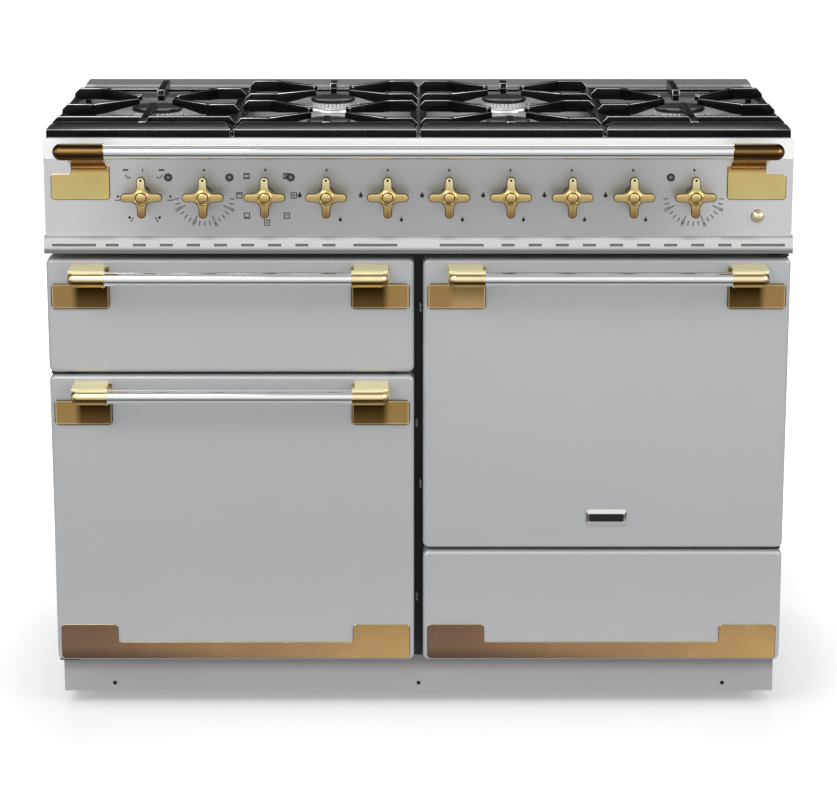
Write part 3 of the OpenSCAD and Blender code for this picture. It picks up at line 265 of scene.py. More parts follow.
def plinth_steel():
    """Satin plinth, with painted shadow that makes it darker under the doors."""
    f = worn_steel("plinth_steel", (0.6, 0.6, 0.6), 0.36, (0.03, 1, 1), 260, 0.00001, 0.7)
    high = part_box("plinth")[1].z
    # Painted shadow: the top of the plinth, under the doors, is darkened.
    shade = f.axis("z").rise(high - 0.030, high - 0.004)
    grain = f.mix(f.noise(3.5, detail=2.0), (0.56, 0.54, 0.55), (0.63, 0.61, 0.62))
    f.feed("Base Color", f.mix(shade, grain, (0.30, 0.29, 0.295)))
    return f.material


def trim_steel():
    """Polished vent trim, near white round its slots, with painted shade that makes it dark towards its
    lower edge.
    """
    f = Finish("trim_steel", metallic=0.4)
    fine = f.noise(300, (0.02, 1, 1), 2.0)
    cloud = f.noise(4, detail=2.0)
    z = f.axis("z")
    base = f.mix(cloud * 0.3, (0.80, 0.80, 0.785), (0.66, 0.66, 0.645))
    # Painted shade: the base colour darkens towards the lower edge.
    base = f.mix(z.rise(TRIM_LOW + 0.0035, TRIM_LOW + 0.0105), (0.20, 0.20, 0.195), base)
    # Painted shade: a darker line along the top edge.
    base = f.mix(z.rise(TRIM_HIGH - 0.0032, TRIM_HIGH - 0.0010) * 0.7, base, (0.30, 0.30, 0.30))
    f.feed("Base Color", base)
    f.feed("Roughness", (fine - 0.5) * 0.06 + 0.2)
    f.bump(fine, 0.000004)
    return f.material


def hob_steel():
    """Hob sheet: polished apron, grey rear band, and a well with painted light round the burners and
    painted shade that darkens it away from them.
    """
    f = Finish("hob_steel")
    fine = f.noise(300, (0.03, 1, 1), 2.0)
    cloud = f.noise(3.5, detail=2.0)
    x, y = f.axis("x"), f.axis("y")
    front = 1 - y.rise(FACE + 0.006, FACE + 0.010)
    deep = (1 - f.axis("z").rise(RIM - 0.014, RIM - 0.004)) * (1 - front)
    distances = []
    for bx, depth, _ in BURNERS[:3]:
        across, along = abs(x) + bx, y - (FACE + depth)
        distances.append((across * across + along * along).root())
    near = distances[0].least(*distances[1:])
    # Painted light and shade in the well: lighter round the burners, darker away from them.
    painted_light_near_burners = 1 - (near + (cloud - 0.5) * 0.03).rise(0.035, 0.200)
    deck = f.mix(cloud, (0.56, 0.57, 0.58), (0.66, 0.67, 0.68))
    well = f.mix(painted_light_near_burners, (0.125, 0.125, 0.13), (0.42, 0.42, 0.415))
    f.feed("Base Color", f.mix(front, f.mix(deep, deck, well), (0.98, 0.98, 0.97)))
    f.feed("Metallic", front * -0.72 - deep * 0.55 + 0.9)
    f.feed("Roughness", (fine - 0.5) * 0.08 - front * 0.1 + deep * 0.15 + 0.3)
    f.bump(fine, 0.000008)
    return f.material


def brass(name, roughness, zones, satin=None):
    """Lacquered brass with clouded gloss. zones gives its colour, and satin where it is duller."""
    f = Finish(name, metallic=1.0)
    cloud = f.noise(28)
    fine = f.noise(900, (0.06, 1, 1), 2.0)
    f.feed("Base Color", f.mix(1.0, zones(f), f.mix(cloud, (0.88,) * 3, (1.08,) * 3), "MULTIPLY"))
    gloss = (cloud - 0.5) * 0.1 + (fine - 0.5) * 0.05 + roughness
    f.feed("Roughness", gloss)
    if satin:
        dull = satin(f)
        f.feed("Roughness", dull * 0.2 + gloss)
        f.feed("Metallic", 1 - dull)
    f.bump(fine, 0.000003)
    return f.material


def bar_cap(node):
    """Height of a bar's middle and the radius of the caps on its ends."""
    low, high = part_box(node)
    return (low.z + high.z) / 2, (high.z - low.z) / 2 + CAP_WALL


def bracket_zones(top, door):
    """Door brackets: painted reflection bands on the cap, a pale arm with painted light on its top, and a
    plate that is gold outside and brown under the arm, where the brown is painted shadow.
    """
    bar_z, radius = bar_cap(f"{door}_bar")
    plate_low, plate_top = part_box(f"{door}_brackets")[0].z, top - PLATE_DROP
    plate_offs = [abs(abs(v.co.x) + DOOR_MIDDLE) for v in cad[f"{door}_brackets"].data.vertices
                  if v.co.y > FACE - 0.004 and v.co.z < plate_low + 0.02]

    def zones(f):
        off = abs(abs(f.axis("x")) + DOOR_MIDDLE)
        z, y = f.axis("z"), f.axis("y")
        inner = 1 - off.rise(0.222, 0.236)
        upper = z.rise(top - 0.072, top - 0.042)
        on_plate = y.rise(FACE - 0.012, FACE - 0.004) * (1 - z.rise(plate_top, plate_top + 0.002))
        # Painted shade on the plates: the gold is a little darker higher up, and dark brown under the arm
        # where its shadow falls; lit marks a patch of painted light in that shadow.
        outer_gold = f.mix(upper, (0.64, 0.40, 0.155), (0.60, 0.385, 0.122))
        painted_light_and_shade_under_arm = f.mix(upper, (0.20, 0.115, 0.036), (0.040, 0.021, 0.003))
        lit = 1 - abs(f.axis("x") + (DOOR_MIDDLE + 0.22)).rise(0.050, 0.060)
        painted_light_and_shade_under_arm = f.mix(lit, painted_light_and_shade_under_arm, f.mix(upper, (0.80, 0.54, 0.24), (0.38, 0.25, 0.09)))
        plate = f.mix(inner, outer_gold, painted_light_and_shade_under_arm)
        # A painted pale highlight along the plate's rim, dimmer under the arm, and a painted dark outline
        # just outside it.
        below_top = (1 - off.rise(0.228, 0.232)) * 0.01 - z + plate_top
        within = (off - min(plate_offs)).least(max(plate_offs) - off, z - plate_low, below_top)
        pale = (1 - within.rise(0.0028, 0.0034)) * (0.75 - inner * (1 - lit) * 0.35)
        plate = f.mix(pale, plate, (0.98, 0.78, 0.46))
        plate = f.mix(1 - within.rise(0.0009, 0.0014), plate, (0.085, 0.050, 0.016))
        # Painted reflection bands round the cap, set by height on the bar.
        painted_reflection_bands = f.ramp((z - bar_z) * (0.5 / radius) + 0.5, [
            (0.0, (0.80, 0.56, 0.24)), (0.20, (0.74, 0.50, 0.20)), (0.25, (0.15, 0.078, 0.012)),
            (0.42, (0.28, 0.16, 0.035)), (0.50, (1.0, 0.80, 0.42)), (0.70, (1.0, 0.90, 0.58)),
            (0.79, (0.50, 0.33, 0.10)), (0.90, (0.17, 0.12, 0.03))])
        # Painted light: the arm's top is pale, as if lit from above.
        cap = f.mix(z.rise(top - 0.0130, top - 0.0120), painted_reflection_bands, (1.0, 0.90, 0.52))
        cap = f.mix(y.rise(FACE - 0.010, FACE - 0.006), cap, (1.0, 0.86, 0.50))
        return f.mix(on_plate, cap, plate)

    return zones


def arm_top(top):
    """The upper face of a door bracket's arm."""
    return lambda f: f.axis("z").rise(top - 0.0118, top - 0.0106)


def edge_zones(f):
    """Rounded edges with painted light and shade: pale where they face up, dark where they face the sides
    or down.
    """
    normal = f.node("ShaderNodeTexCoord", out="Normal")
    up = f.node("ShaderNodeSeparateXYZ", {}, {0: normal}, out="Z")
    return f.mix(up.rise(0.15, 0.6), (0.13, 0.082, 0.026), (1.0, 0.90, 0.60))


def rail_zones(f):
    """Rail brackets: light gold plate, a brown neck that is painted shade under the cap, and a brown cap
    with painted reflection bands.
    """
    z = f.axis("z")
    # Painted shade: the neck under the cap is brown.
    neck = z.rise(RIM - 0.051, RIM - 0.046)
    cap = z.rise(RIM - 0.0235, RIM - 0.0215)
    plate = f.mix(z.rise(RIM - 0.090, RIM - 0.060), (1.0, 0.84, 0.34), (1.0, 0.78, 0.30))
    rail_z, radius = bar_cap("rail_bar")
    # Painted reflection bands round the cap, set by height on the bar.
    painted_reflection_bands = f.ramp((z - rail_z) * (0.5 / radius) + 0.5, [
        (0.0, (0.07, 0.034, 0.010)), (0.34, (0.09, 0.044, 0.012)), (0.50, (0.13, 0.070, 0.022)),
        (0.60, (0.34, 0.205, 0.080)), (0.70, (0.14, 0.075, 0.022)), (0.86, (0.05, 0.025, 0.008))])
    return f.mix(cap, f.mix(neck, plate, (0.74, 0.45, 0.17)), painted_reflection_bands)


def strip_zones(f):
    """Kick strips: a painted reflection from dark brown at the left end to warm gold towards the right,
    and painted shade along the lower edge towards the left.
    """
    x, z = f.axis("x"), f.axis("z")
    along = x.math("FRACT", (x + HALF) / HALF)
    low = 1 - z.rise(STRIP_LOW, STRIP_LOW + 0.022)
    # Painted reflection: the base colour runs from dark at the left end to light at the right.
    base = f.mix(along.rise(0.0, 0.55), (0.36, 0.215, 0.14), (0.68, 0.42, 0.20))
    base = f.mix(along.rise(0.55, 1.0), base, (0.96, 0.60, 0.25))
    # Painted shade along the lower edge, fading out towards the right.
    return f.mix(low * (1 - along.rise(0.05, 0.75)) * 0.75, base, (0.13, 0.085, 0.075))


def knob_zones(f):
    """Knobs with painted light and shade by height: pale on the upper arm, olive gold at the sides, orange
    brown on the lower arm.
    """
    z = f.axis("z")
    # Painted light and shade: darker low on the knob, pale high up.
    lower = f.mix(z.rise(KNOB_Z - 0.030, KNOB_Z - 0.008), (0.50, 0.28, 0.105), (0.82, 0.62, 0.27))
    return f.mix(z.rise(KNOB_Z + 0.003, KNOB_Z + 0.022), lower, (1.0, 0.90, 0.50))


def one_tone(colour):
    return lambda f: f.mix(0.0, colour, colour)


def cast_enamel(name, colour, roughness, relief=0.00004, shine=0.5):
    f = Finish(name, specular_ior_level=shine)
    pits = f.noise(420)
    cloud = f.noise(30, detail=2.0)
    f.feed("Base Color", f.mix(cloud, tone(colour, 0.8), tone(colour, 1.25)))
    f.feed("Roughness", (cloud - 0.5) * 0.08 + (pits - 0.5) * 0.06 + roughness)
    f.bump(pits, relief)
    return f.material


def speckled_enamel():
    f = Finish("oven_enamel", coat_weight=0.4, coat_roughness=0.1)
    speck = f.node("ShaderNodeTexVoronoi", {}, {"Vector": f.place(), "Scale": 260.0}, out="Distance")
    spots = (1 - speck.rise(0.10, 0.16)) * f.noise(90, detail=1.0).rise(0.5, 0.6)
    f.feed("Base Color", f.mix(spots, (0.014, 0.015, 0.019), (0.32, 0.33, 0.36)))
    f.feed("Roughness", f.noise(60) * 0.12 + 0.2)
    f.bump(f.noise(300), 0.00003)
    return f.material


def galvanised_sheet():
    f = Finish("galvanised_sheet", metallic=0.9)
    flake = f.node("ShaderNodeTexVoronoi", {}, {"Vector": f.place(), "Scale": 170.0}, out="Color")
    grey = f.node("ShaderNodeSeparateColor", {}, {0: flake})
    f.feed("Base Color", f.mix(grey, (0.44, 0.45, 0.46), (0.52, 0.53, 0.54)))
    f.feed("Roughness", grey * 0.1 + f.noise(4, detail=2.0) * 0.1 + 0.34)
    f.bump(grey, 0.00002)
    return f.material


def plain(name, colour, roughness, metallic=0.0, cells=300, relief=0.00003, **more):
    """A moulded or painted surface with a fine grain."""
    f = Finish(name, metallic=metallic, **more)
    grain = f.noise(cells, detail=2.0)
    cloud = f.noise(12, detail=2.0)
    f.feed("Base Color", f.mix(cloud, tone(colour, 0.86), tone(colour, 1.14)))
    f.feed("Roughness", (grain - 0.5) * 0.16 + roughness)
    f.bump(grain, relief)
    return f.material


door_coat = door_enamel()
panel_coat = panel_steel()
liner_coat = plain("liner_enamel", (0.10, 0.105, 0.11), 0.35, 0.3, coat_weight=0.2)
polish = worn_steel(
    "polished_steel", (0.92, 0.92, 0.915), 0.07, (0.01, 1, 1), 300, 0.0000008, spread=0.02).material
trim_polish = trim_steel()
hob_coat = hob_steel()
plinth_coat = plinth_steel()
rail_gold = brass("rail_brass", 0.22, rail_zones)
cap_gold = brass("handle_brass_upper", 0.16, bracket_zones(TOP, "grill_door"), arm_top(TOP))
cap_gold_low = brass("handle_brass_lower", 0.16, bracket_zones(LEFT_TOP, "left_door"), arm_top(LEFT_TOP))
edge_gold = brass("brass_edge", 0.2, edge_zones)
strip_gold = brass("kick_strip_brass", 0.26, strip_zones)
knob_gold = brass("knob_brass", 0.26, knob_zones)
button_gold = brass("button_brass", 0.26, one_tone((0.92, 0.84, 0.52)))
# Dark brass for the knobs' arm sides, rounded edges, hub back and ring groove: painted shade.
knob_shade = brass("knob_recess", 0.32, one_tone((0.085, 0.056, 0.020)))
iron = cast_enamel("support_enamel", (0.0045, 0.0045, 0.0055), 0.24, shine=0.10)
# Bright steel on the pan supports' rounded edges and tops: a painted highlight.
iron_edge = worn_steel("support_edge", (0.62, 0.62, 0.63), 0.2, spread=0.2).material
cap_black = cast_enamel("burner_cap_enamel", (0.009, 0.009, 0.010), 0.3, shine=0.3)
light_alloy = worn_steel("burner_alloy", (0.93, 0.93, 0.92), 0.24, (1, 1, 1), 500, 0.00003, 0.7).material
oven_coat = speckled_enamel()
zinc = galvanised_sheet()
frame_black = plain("frame_enamel", (0.010, 0.010, 0.012), 0.4)
seal_grey = plain("seal_fibre", (0.03, 0.03, 0.032), 0.85, cells=900, relief=0.0002)
dark_plastic = plain("switch_plastic", (0.02, 0.02, 0.022), 0.45)
print_ink = plain("print_ink", (0.012, 0.012, 0.013), 0.5)
lens_dark = plain("lamp_ring", (0.015, 0.015, 0.017), 0.25, coat_weight=0.5)
lens_grey = plain("lamp_lens", (0.20, 0.20, 0.21), 0.2, coat_weight=0.6)
chrome = worn_steel("bright_chrome", (0.78, 0.77, 0.73), 0.1, spread=0.02).material
blank_coat = plain("badge_inlay", (0.016, 0.015, 0.012), 0.3, 0.3, coat_weight=0.4)
pipe_metal = worn_steel("pipe_metal", (0.62, 0.56, 0.38), 0.3).material
element_coat = plain("element_sheath", (0.10, 0.09, 0.085), 0.55, 0.5)
rubber = plain("foot_rubber", (0.015, 0.015, 0.015), 0.8)
motor_coat = worn_steel("motor_steel", (0.45, 0.46, 0.47), 0.36).material
fan_coat = worn_steel("fan_steel", (0.6, 0.6, 0.6), 0.32).material
ceramic = plain("spark_ceramic", (0.75, 0.74, 0.71), 0.3, coat_weight=0.3)
baffle_steel = plain("baffle_steel", (0.20, 0.196, 0.19), 0.4, 0.4)
catch_steel = plain("catch_steel", (0.30, 0.30, 0.30), 0.35, 0.6)
screw_black = plain("screw_black", (0.01, 0.01, 0.01), 0.35, 0.4)
# The burner crowns' teeth and the wire shelves have an empty slot, which shows Blender's own grey
bare_grey = None


# Mesh tools


def added(name, data):
    """A new object in the scene."""
    made = bpy.data.objects.new(name, data)
    bpy.context.scene.collection.objects.link(made)
    return made


def baked(holder):
    """An object's mesh as its modifiers leave it, in place of the object."""
    mesh = bpy.data.meshes.new_from_object(holder.evaluated_get(bpy.context.evaluated_depsgraph_get()))
    bpy.data.objects.remove(holder)
    return mesh


def piece(name, mesh, materials, stands_for=None, body="root"):
    """A visible piece on its body. One that stands for a CAD node rides on the node's body."""
    mesh.name = name
    made = added(name, mesh)
    kept = [face.material_index for face in mesh.polygons]
    mesh.materials.clear()
    for m in materials if isinstance(materials, list) else [materials]:
        mesh.materials.append(m)
    mesh.polygons.foreach_set("material_index", kept)
    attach(made, body_of_node.get(stands_for, body))
    if stands_for:
        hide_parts(stands_for)


def smooth(mesh, angle=35):
    mesh.polygons.foreach_set("use_smooth", [True] * len(mesh.polygons))
    mesh.set_sharp_from_angle(angle=math.radians(angle))


def settle(mesh, modifiers):
    """The mesh with its modifiers applied."""
    holder = added("holder", mesh)
    for kind, settings in modifiers:
        m = holder.modifiers.new(kind.lower(), kind)
        for key, value in settings.items():
            setattr(m, key, value)
    return baked(holder)


def rounded_edges(mesh, width, segments=2, angle=40, edge=-1, clamp=True):
    """The mesh with its sharp edges rounded. edge is the material index of the new faces."""
    return settle(mesh, [
        ("BEVEL", {"width": width, "segments": segments, "limit_method": "ANGLE",
                   "angle_limit": math.radians(angle), "miter_outer": "MITER_ARC",
                   "use_clamp_overlap": clamp, "material": edge}),
        ("WEIGHTED_NORMAL", {"keep_sharp": True, "weight": 60}),
    ])


def joined_copy(node):
    """A CAD node's mesh with its loose triangles joined and flat areas merged."""
    mesh = cad[node].data.copy()
    b = bmesh.new()
    b.from_mesh(mesh)
    bmesh.ops.remove_doubles(b, verts=b.verts, dist=2e-6)
    bmesh.ops.dissolve_limit(b, angle_limit=math.radians(1.0), verts=b.verts, edges=b.edges)
    b.to_mesh(mesh)
    b.free()
    if mesh.has_custom_normals:
        mesh.attributes.remove(mesh.attributes["custom_normal"])
    return mesh


def brass_piece(node, name, coat, width, clamp=True):
    """A CAD node in brass with its sharp edges rounded off in the edges' own finish, which paints light
    and shade on them.
    """
    mesh = joined_copy(node)
    mesh.polygons.foreach_set("use_smooth", [True] * len(mesh.polygons))
    while len(mesh.materials) < 2:
        mesh.materials.append(None)
    piece(name, rounded_edges(mesh, width, edge=1, clamp=clamp), [coat, edge_gold], node)


def lathe(profile, place, axis="z", steps=48):
    """A turned shape from [(radius, height)]. With axis "y" its heights run towards the front."""
    turn = Matrix.Identity(4) if axis == "z" else Matrix.Rotation(math.radians(90), 4, "X")
    move = Matrix.Translation(place) @ turn
    b = bmesh.new()
    rings = []
    for r, h in profile:
        if r < 1e-7:
            rings.append([b.verts.new((0, 0, h))])
        else:
            turns = [2 * math.pi * i / steps for i in range(steps)]
            rings.append([b.verts.new((r * math.cos(a), r * math.sin(a), h)) for a in turns])
    for low, high in zip(rings, rings[1:]):
        for i in range(steps):
            j = (i + 1) % steps
            corners = [low[i % len(low)], low[j % len(low)], high[j % len(high)], high[i % len(high)]]
            corners = list(dict.fromkeys(corners))
            if len(corners) > 2:
                b.faces.new(corners)
    bmesh.ops.recalc_face_normals(b, faces=b.faces)
    bmesh.ops.transform(b, matrix=move, verts=b.verts)
    return b


def finish_mesh(*parts, angle=35):
    """One mesh from bmeshes and meshes, each with the index of its material."""
    for part, index in parts:
        for face in part.polygons if isinstance(part, bpy.types.Mesh) else part.faces:
            face.material_index = index
    return gathered([part for part, _ in parts], angle)


def gathered(parts, angle=35):
    """One mesh from bmeshes and meshes whose faces already have their material indices."""
    whole = bmesh.new()
    for part in parts:
        mesh = part
        if isinstance(part, bmesh.types.BMesh):
            mesh = bpy.data.meshes.new("part")
            part.to_mesh(mesh)
            part.free()
        whole.from_mesh(mesh)
        bpy.data.meshes.remove(mesh)
    mesh = bpy.data.meshes.new("whole")
    whole.to_mesh(mesh)
    whole.free()
    if angle:
        smooth(mesh, angle)
    return mesh


def rectangle(x, z, half_x, half_z):
    return [(x + half_x * u, z + half_z * v) for u, v in ((-1, -1), (1, -1), (1, 1), (-1, 1))]


def solid(*rings):
    """A closed shape whose walls run through rings of the same number of points."""
    b = bmesh.new()
    rings = [[b.verts.new(point) for point in ring] for ring in rings]
    b.faces.new(rings[0])
    b.faces.new(rings[-1][::-1])
    for near, far in zip(rings, rings[1:]):
        for i in range(len(near)):
            j = (i + 1) % len(near)
            b.faces.new((near[i], near[j], far[j], far[i]))
    bmesh.ops.recalc_face_normals(b, faces=b.faces)
    return b


def slab(outline, y, thick):
    """A plate drawn in X and Z whose front is at y."""
    return solid(*[[(x, at, z) for x, z in outline] for at in (y + thick, y)])


# Shapes that repeat, grown by geometry nodes


class Growth(Nodes):
    """A geometry tree with named sizes. grow() turns it into a plain mesh."""

    def __init__(self, name, **sizes):
        super().__init__(bpy.data.node_groups.new(name, "GeometryNodeTree"))
        face = self.tree.interface
        self.sockets = {size: face.new_socket(size, in_out="INPUT", socket_type=f"NodeSocket{kind}")
                        for size, kind in {"Finish": "Material", "Place": "Vector", **sizes}.items()}
        face.new_socket("Geometry", in_out="OUTPUT", socket_type="NodeSocketGeometry")
        self.start = self.node("NodeGroupInput").socket.node

    def size(self, name):
        return Wire(self, self.start.outputs[name])

    def close(self, geometry):
        """Moves the shape to its place and ends the tree."""
        for step, inputs in (
            ("Transform", {"Translation": self.size("Place")}),
            ("RealizeInstances", {}),
            ("SetShadeSmooth", {"Shade Smooth": True}),
            ("SetMaterial", {"Material": self.size("Finish")}),
        ):
            geometry = self.node("GeometryNode" + step, {}, {"Geometry": geometry, **inputs})
        self.node("NodeGroupOutput", {}, {"Geometry": geometry}, None)

    def grow(self, **sizes):
        holder = added("holder", bpy.data.meshes.new("empty"))
        m = holder.modifiers.new("growth", "NODES")
        m.node_group = self.tree
        for size, value in sizes.items():
            m[self.sockets[size].identifier] = value
        return baked(holder)


def wire_rack():
    """An oven shelf: a bent frame of round wire with cross wires on it."""
    g = Growth("wire_rack", Width="Float", Depth="Float", Gauge="Float", Wires="Int")
    width, depth = g.size("Width"), g.size("Depth")

    def vector(**parts):
        return g.node("ShaderNodeCombineXYZ", {}, parts)

    thick = g.node("GeometryNodeCurvePrimitiveCircle", {}, {"Resolution": 8, "Radius": g.size("Gauge")})
    outline = g.node("GeometryNodeCurvePrimitiveQuadrilateral", {}, {"Width": width, "Height": depth})
    bent = g.node("GeometryNodeFilletCurve", {"mode": "POLY"},
                  {"Curve": outline, "Count": 5, "Radius": 0.012})
    rim = g.node("GeometryNodeCurveToMesh", {}, {"Curve": bent, "Profile Curve": thick})
    wires, step = g.size("Wires"), width / (g.size("Wires") + 1.0)
    row = g.node("GeometryNodeMeshLine", {}, {
        "Count": wires, "Start Location": vector(X=width * -0.5 + step), "Offset": vector(X=step)})
    half = depth * 0.5
    run = g.node("GeometryNodeCurvePrimitiveLine", {},
                 {"Start": vector(Y=half * -1.0), "End": vector(Y=half)})
    cross = g.node("GeometryNodeCurveToMesh", {},
                   {"Curve": run, "Profile Curve": thick, "Fill Caps": True})
    wires = g.node("GeometryNodeInstanceOnPoints", {}, {"Points": row, "Instance": cross})
    g.close(g.node("GeometryNodeJoinGeometry", {}, {"Geometry": [rim, wires]}))
    return g


def ring_of_teeth():
    """Teeth that stand round a circle, each turned to face outwards."""
    g = Growth("ring_of_teeth", Radius="Float", Teeth="Int", Tooth="Vector")
    circle = g.node("GeometryNodeMeshCircle", {},
                    {"Vertices": g.size("Teeth"), "Radius": g.size("Radius")})
    block = g.node("GeometryNodeMeshCube", {}, {"Size": g.size("Tooth")})
    outwards = g.node("GeometryNodeInputPosition")
    turn = g.node("FunctionNodeAlignRotationToVector", {"axis": "X"}, {"Vector": outwards})
    g.close(g.node("GeometryNodeInstanceOnPoints", {},
                   {"Points": circle, "Instance": block, "Rotation": turn}))
    return g


# Doors, drawer front and their brass


def door_pieces():
    for node in ("grill_door_panel", "left_door_panel", "right_door_panel", "drawer_front"):
        mesh = joined_copy(node)
        smooth(mesh, 38)
        done = settle(mesh, [("WEIGHTED_NORMAL", {"keep_sharp": True, "weight": 80})])
        piece(node.rsplit("_", 1)[0] + "_skin", done, door_coat, node)
    for door, gold in (("grill_door", cap_gold), ("left_door", cap_gold_low), ("right_door", cap_gold)):
        brass_piece(f"{door}_brackets", f"{door}_handle_brackets", gold, 0.0012)
    for strip in ("left_kick_strip", "drawer_kick_strip"):
        brass_piece(strip, f"{strip}_brass", strip_gold, 0.0007)
    brass_piece("rail_brackets", "rail_brackets_brass", rail_gold, 0.0010, clamp=False)


def rounded_box(mid, w, h, r):
    """Corners of an upright rectangle with rounded corners, as X and Z."""
    outline = []
    for cx, cz, a0 in ((w - r, h - r, 0), (r - w, h - r, 90), (r - w, r - h, 180), (w - r, r - h, 270)):
        for k in range(7):
            a = math.radians(a0 + 15 * k)
            outline.append((mid.x + cx + r * math.cos(a), mid.z + cz + r * math.sin(a)))
    return outline


def badge():
    """Plain chrome frame with sloped sides round a blank dark inlay."""
    low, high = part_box("badge_plate")
    mid, w, h = (low + high) / 2, (high.x - low.x) / 2, (high.z - low.z) / 2
    proud = high.y - low.y
    rings = []
    for share, out in ((0, 0), (0, 0.30), (0.06, 0.44), (0.86, 1.0), (0.94, 0.98), (1.0, 0.62)):
        outline = rounded_box(mid, w - share * 0.0052, h - share * h * 0.60, 0.0052 - share * 0.0040)
        rings.append([(x, high.y - out * proud, z) for x, z in outline])
    frame_mesh = finish_mesh((solid(*rings), 0), angle=20)
    piece("plain_badge", frame_mesh, chrome, "badge_plate")
    inlay = rounded_box(mid, w - 0.0050, h * 0.42, 0.0012)
    mesh = rounded_edges(finish_mesh((slab(inlay, high.y - 0.72 * proud, 0.0005), 0)), 0.0001, 1)
    piece("badge_inlay", mesh, blank_coat, body="right_door")


# Knobs


def cross_outline(reach, half, fillet):
    """A cross with round arms of that reach and half width, and fillets between them."""
    points = []
    for q in range(4):
        turn = math.radians(90 * q)
        arc = []
        for k in range(-6, 7):
            a = math.radians(15 * k)
            arc.append((reach - half + half * math.cos(a), half * math.sin(a)))
        for k in range(0, 7):
            a = math.radians(270 - 15 * k)
            arc.append((half + fillet + fillet * math.cos(a), half + fillet + fillet * math.sin(a)))
        c, s = math.cos(turn), math.sin(turn)
        points += [(x * c - z * s, x * s + z * c) for x, z in arc]
    return points


def turned_forward(profile, steps, back, up=0):
    """A turned shape whose axis runs from front to back."""
    b = lathe(profile, (0, 0, 0), steps=steps)
    for v in b.verts:
        v.co = Vector((v.co.x, v.co.z + back, v.co.y + up))
    bmesh.ops.recalc_face_normals(b, faces=b.faces)
    return b


def knobs():
    """Cross knobs of cast brass: flat arms, a hub with a ring groove, and a black dot on the top arm."""
    front, shaded = 0.003, 0.0045
    cross = finish_mesh((slab(cross_outline(0.0303, 0.00635, 0.010), front, 0.009), 0))
    for face in cross.polygons:
        # The arms' sides, and the rounded edges made below, take the painted shade.
        face.material_index = 2 if abs(face.normal.y) < 0.5 else 0
    for _ in range(3):
        cross.materials.append(None)
    cross = rounded_edges(cross, 0.0011, 3, 55, 2)
    hub = turned_forward([
        (0, 0.0), (0.0064, 0.0), (0.0070, 0.0004), (0.0072, 0.0016), (0.0082, 0.0016), (0.0085, 0.0004),
        (0.0092, 0.0), (0.0104, 0.0005), (0.0112, 0.0018), (0.0114, 0.0040), (0.0114, 0.0110),
        (0.0108, 0.0128), (0.0105, 0.0160), (0.0105, 0.0330), (0.0118, 0.0345), (0.0118, 0.0370),
        (0, 0.0370)], 56, 0.0003)
    # The back of the hub takes the painted shade too.
    for face in hub.faces:
        face.material_index = 2 if face.calc_center_median().y > shaded else 0
    dot = turned_forward([(0, 0), (0.0017, 0), (0.0019, 0.0002), (0.0019, 0.0012), (0, 0.0012)], 20,
                         front - 0.0003, 0.0256)
    groove = turned_forward([(0.0070, 0), (0.0084, 0), (0.0084, 0.0004), (0.0070, 0.0004), (0.0070, 0)],
                            40, 0.0014)
    for part, index in ((dot, 1), (groove, 2)):
        for face in part.faces:
            face.material_index = index
    knob = gathered([cross, hub, dot, groove], 34)
    for k, at in enumerate(KNOBS, 1):
        mesh = knob.copy()
        mesh.transform(Matrix.Translation((at.x, KNOB_FRONT, at.z)))
        piece(f"cross_knob_{k:02d}", mesh, [knob_gold, print_ink, knob_shade], f"knob_{k:02d}")


# Printed marks on the panel


class Print:
    """Ink on the control panel, gathered in one mesh."""

    proud, sunk = 0.00012, 0.00006

    def __init__(self):
        self.parts = []

    def shape(self, outline):
        self.parts.append(slab(outline, FACE - self.proud, self.proud + self.sunk))

    def bar(self, x, z, length, width, degrees):
        c, s = math.cos(math.radians(degrees)), math.sin(math.radians(degrees))
        corners = rectangle(0, 0, length / 2, width / 2)
        self.shape([(x + u * c - v * s, z + u * s + v * c) for u, v in corners])

    def disc(self, x, z, r):
        turns = [i * math.pi / 8 for i in range(16)]
        self.shape([(x + r * math.cos(a), z + r * math.sin(a)) for a in turns])

    def flame(self, x, z, height):
        right = [(0.0, 1.0), (0.13, 0.72), (0.30, 0.42), (0.33, 0.20), (0.22, 0.04), (0.0, 0.0)]
        left = [(-u, v) for u, v in right[-2:0:-1]]
        self.shape([(x + u * height, z + (v - 0.45) * height) for u, v in left + right])

    def box(self, x, z, side, width):
        for dx, dz, turn in ((0, side / 2, 0), (0, -side / 2, 0), (side / 2, 0, 90), (-side / 2, 0, 90)):
            self.bar(x + dx, z + dz, side + width, width, turn)

    def words(self, text, x, z, size, degrees):
        curve = bpy.data.curves.new("figures", "FONT")
        curve.body, curve.size, curve.align_x, curve.align_y = text, size, "CENTER", "CENTER"
        curve.extrude, curve.resolution_u, curve.offset = 0.00006, 2, size * 0.018
        mesh = baked(added("figures", curve))
        upright = Matrix.Rotation(math.radians(90), 4, "X")
        turned = Matrix.Rotation(math.radians(-degrees), 4, "Y")
        mesh.transform(Matrix.Translation((x, FACE - 0.00004, z)) @ turned @ upright)
        self.parts.append(mesh)


def temperature_dial(ink, x, z):
    """Ticks round the lower half, with figures in place of four of them."""
    figures = {2: "220", 6: "180", 10: "140", 14: "100"}
    for i in range(17):
        degrees = 186 + 10.5 * i
        c, s = math.cos(math.radians(degrees)), math.sin(math.radians(degrees))
        if i in figures:
            ink.bar(x + 0.0345 * c, z + 0.0345 * s, 0.0070, 0.0014, degrees)
            upright = degrees - 180 if degrees < 270 else degrees
            ink.words(figures[i], x + 0.0432 * c, z + 0.0432 * s, 0.0068, upright)
        else:
            ink.bar(x + 0.0408 * c, z + 0.0408 * s, 0.0070, 0.0013, degrees)
    ink.flame(x, z + 0.0385, 0.0052)


